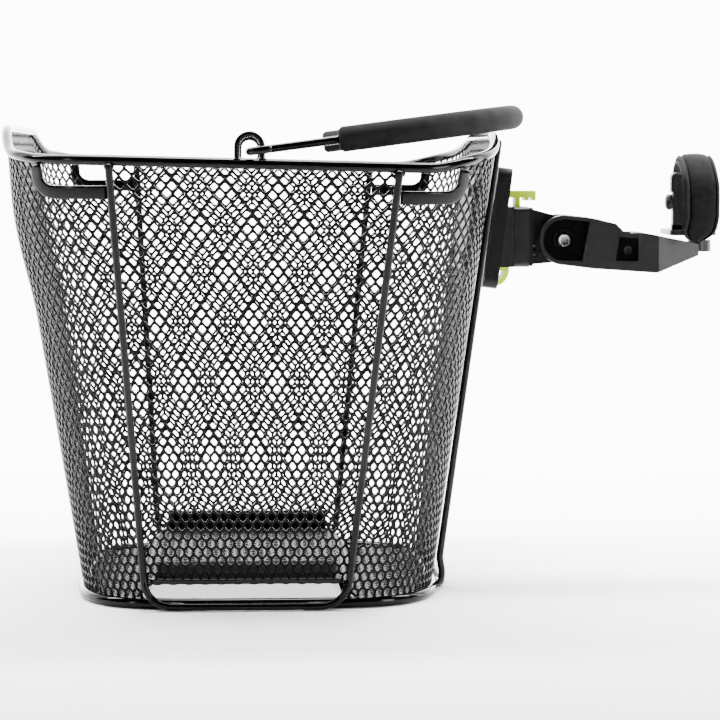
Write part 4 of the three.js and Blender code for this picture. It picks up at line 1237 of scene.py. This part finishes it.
def build_knob():
    """The thumb screw, with flutes round its edge."""
    low, high = cad_box("strap_knob")
    y, z = KNOB_PIVOT[1], KNOB_PIVOT[2]
    radius = (high[2] - low[2]) / 2
    sides = 72
    angle = np.arange(sides) * 2 * math.pi / sides
    flute = 1 - FLUTE_DEPTH * (0.5 + 0.5 * np.cos(angle * KNOB_FLUTES))
    grip_end = low[0] + 4.0
    profile = [(low[0], 0.3, 0), (low[0] + 0.1, 0.5, 0), (low[0] + 0.45, 0.72, 0.4)]
    profile += [(low[0] + 1.1, 0.9, 0.8)]
    profile += [(low[0] + 2.0, 1.0, 1), (grip_end - 0.8, 0.99, 1), (grip_end - 0.2, 0.9, 0.6)]
    profile += [(grip_end, 0.8, 0), (grip_end, 0.32, 0), (high[0], 0.31, 0)]
    rings = []
    for x, share, fluted in profile:
        r = radius * share * (1 - fluted + fluted * flute)
        rings.append(np.stack([np.full(sides, x), y + r * np.cos(angle), z + r * np.sin(angle)], 1))
    knob = new_object("thumb_knob", np.vstack(rings), skin_faces(len(rings), sides, False))
    dress(sharpen(knob, 40), smooth_plastic, "knob", ["strap_knob"])


finish_nodes()
paint_recess_shade()
build_bolts()
build_neck_screws()
build_strap()
build_buckle()
build_knob()
build_wall()
build_floor()
build_loop("rim_wire", rim_table, rim_height, RIM_RADIUS, 420, "top_rim")
build_loop("ring_wire", ring_table, ring_height, RING_RADIUS, 320, "base_ring")
build_rear_frame()
for side_name, side_sign in (("left", -1), ("right", 1)):
    build_side_frame(side_name, side_sign)
    build_strip("front", side_name, side_sign)
    build_strip("rear", side_name, side_sign)
    build_eye(side_name, side_sign)
    build_floor_edge(side_name, side_sign)
    build_hem(side_name, side_sign)
build_frame_welds()
build_bail()
build_grip()

# ---------------------------------------------------------------- stage, lights and camera


SWEEP_NEAR, SWEEP_BEND, SWEEP_HEIGHT, SWEEP_HALF = -3000, 900, 4200, 5000
FLOOR_DROP = 0.05  # keeps the paper just under the basket's foot


def build_stage():
    """A pale floor that curves up into a backdrop."""
    bend = SWEEP_BEND
    profile = [(SWEEP_NEAR, 0), (bend, 0)]
    turns = np.radians(np.arange(6, 91, 6))
    profile += [(bend + bend * math.sin(a), bend - bend * math.cos(a)) for a in turns]
    profile += [(2 * bend, SWEEP_HEIGHT)]
    rings = [[(x, y, z - FLOOR_DROP) for x in (-SWEEP_HALF, SWEEP_HALF)] for y, z in profile]
    faces = [(2 * i, 2 * i + 1, 2 * i + 3, 2 * i + 2) for i in range(len(profile) - 1)]
    sweep_wall = new_object("studio_sweep", np.array(rings).reshape(-1, 3), faces)
    material, tree, shader = node_material("studio_paper")
    fine = noise(tree, 8)
    shade = shade_mix(tree, ramp(tree, fine, 0, 1), (0.9, 0.9, 0.9), (0.93, 0.93, 0.93))
    tree.links.new(shade, shader.inputs["Base Color"])
    shader.inputs["Roughness"].default_value = 0.9
    shader.inputs["Specular IOR Level"].default_value = 0.1
    sweep_wall.data.materials.append(material)


def area_light(name, place, target, size, power):
    light = bpy.data.lights.new(name, "AREA")
    light.shape = "RECTANGLE"
    light.size, light.size_y = size[0] * MM, size[1] * MM
    light.energy = power
    obj = bpy.data.objects.new(name, light)
    bpy.context.scene.collection.objects.link(obj)
    obj.location = Vector(place) * MM
    direction = (Vector(target) - Vector(place)) * MM
    obj.rotation_euler = direction.to_track_quat("-Z", "Y").to_euler()


OBJECT_MIDDLE = (0, 0, 150)
# Each lamp's name, place, target, size and power in watts
LAMPS = [
    ("overhead", (0, 250, 1500), OBJECT_MIDDLE, (1300, 400), 15),
    ("left_front", (-1250, -1250, 350), OBJECT_MIDDLE, (140, 1000), 5),
    ("right_front", (1250, -1150, 330), (200, 0, 200), (420, 1000), 26),
    ("left_side", (-1600, 500, 600), OBJECT_MIDDLE, (400, 1500), 10),
    ("right_side", (1600, 500, 600), OBJECT_MIDDLE, (400, 1500), 20),
    ("backdrop", (0, 300, 1500), (0, 1500, 500), (3600, 700), 560),
]
WORLD_STRENGTH = 0.05


def build_lights():
    world = bpy.data.worlds.new("studio")
    bpy.context.scene.world = world
    world.use_nodes = True
    background = world.node_tree.nodes["Background"]
    background.inputs["Color"].default_value = (1, 1, 1, 1)
    background.inputs["Strength"].default_value = WORLD_STRENGTH
    for lamp in LAMPS:
        area_light(*lamp)


CAMERA_PLACE = (-70.03, -1540.65, 258.27)
CAMERA_YAW, CAMERA_PITCH = 2.489, 4.624
CAMERA_LENS = 126.79


def build_camera():
    camera = bpy.data.cameras.new("photo_camera")
    camera.sensor_width = 36
    camera.lens = CAMERA_LENS
    camera.clip_start = 0.05
    camera.clip_end = 30
    obj = bpy.data.objects.new("photo_camera", camera)
    bpy.context.scene.collection.objects.link(obj)
    obj.location = Vector(CAMERA_PLACE) * MM
    yaw, pitch = math.radians(CAMERA_YAW), math.radians(CAMERA_PITCH)
    forward = Vector((math.sin(yaw) * math.cos(pitch), math.cos(yaw) * math.cos(pitch), -math.sin(pitch)))
    obj.rotation_euler = forward.to_track_quat("-Z", "Y").to_euler()
    bpy.context.scene.camera = obj


build_stage()
build_lights()
build_camera()
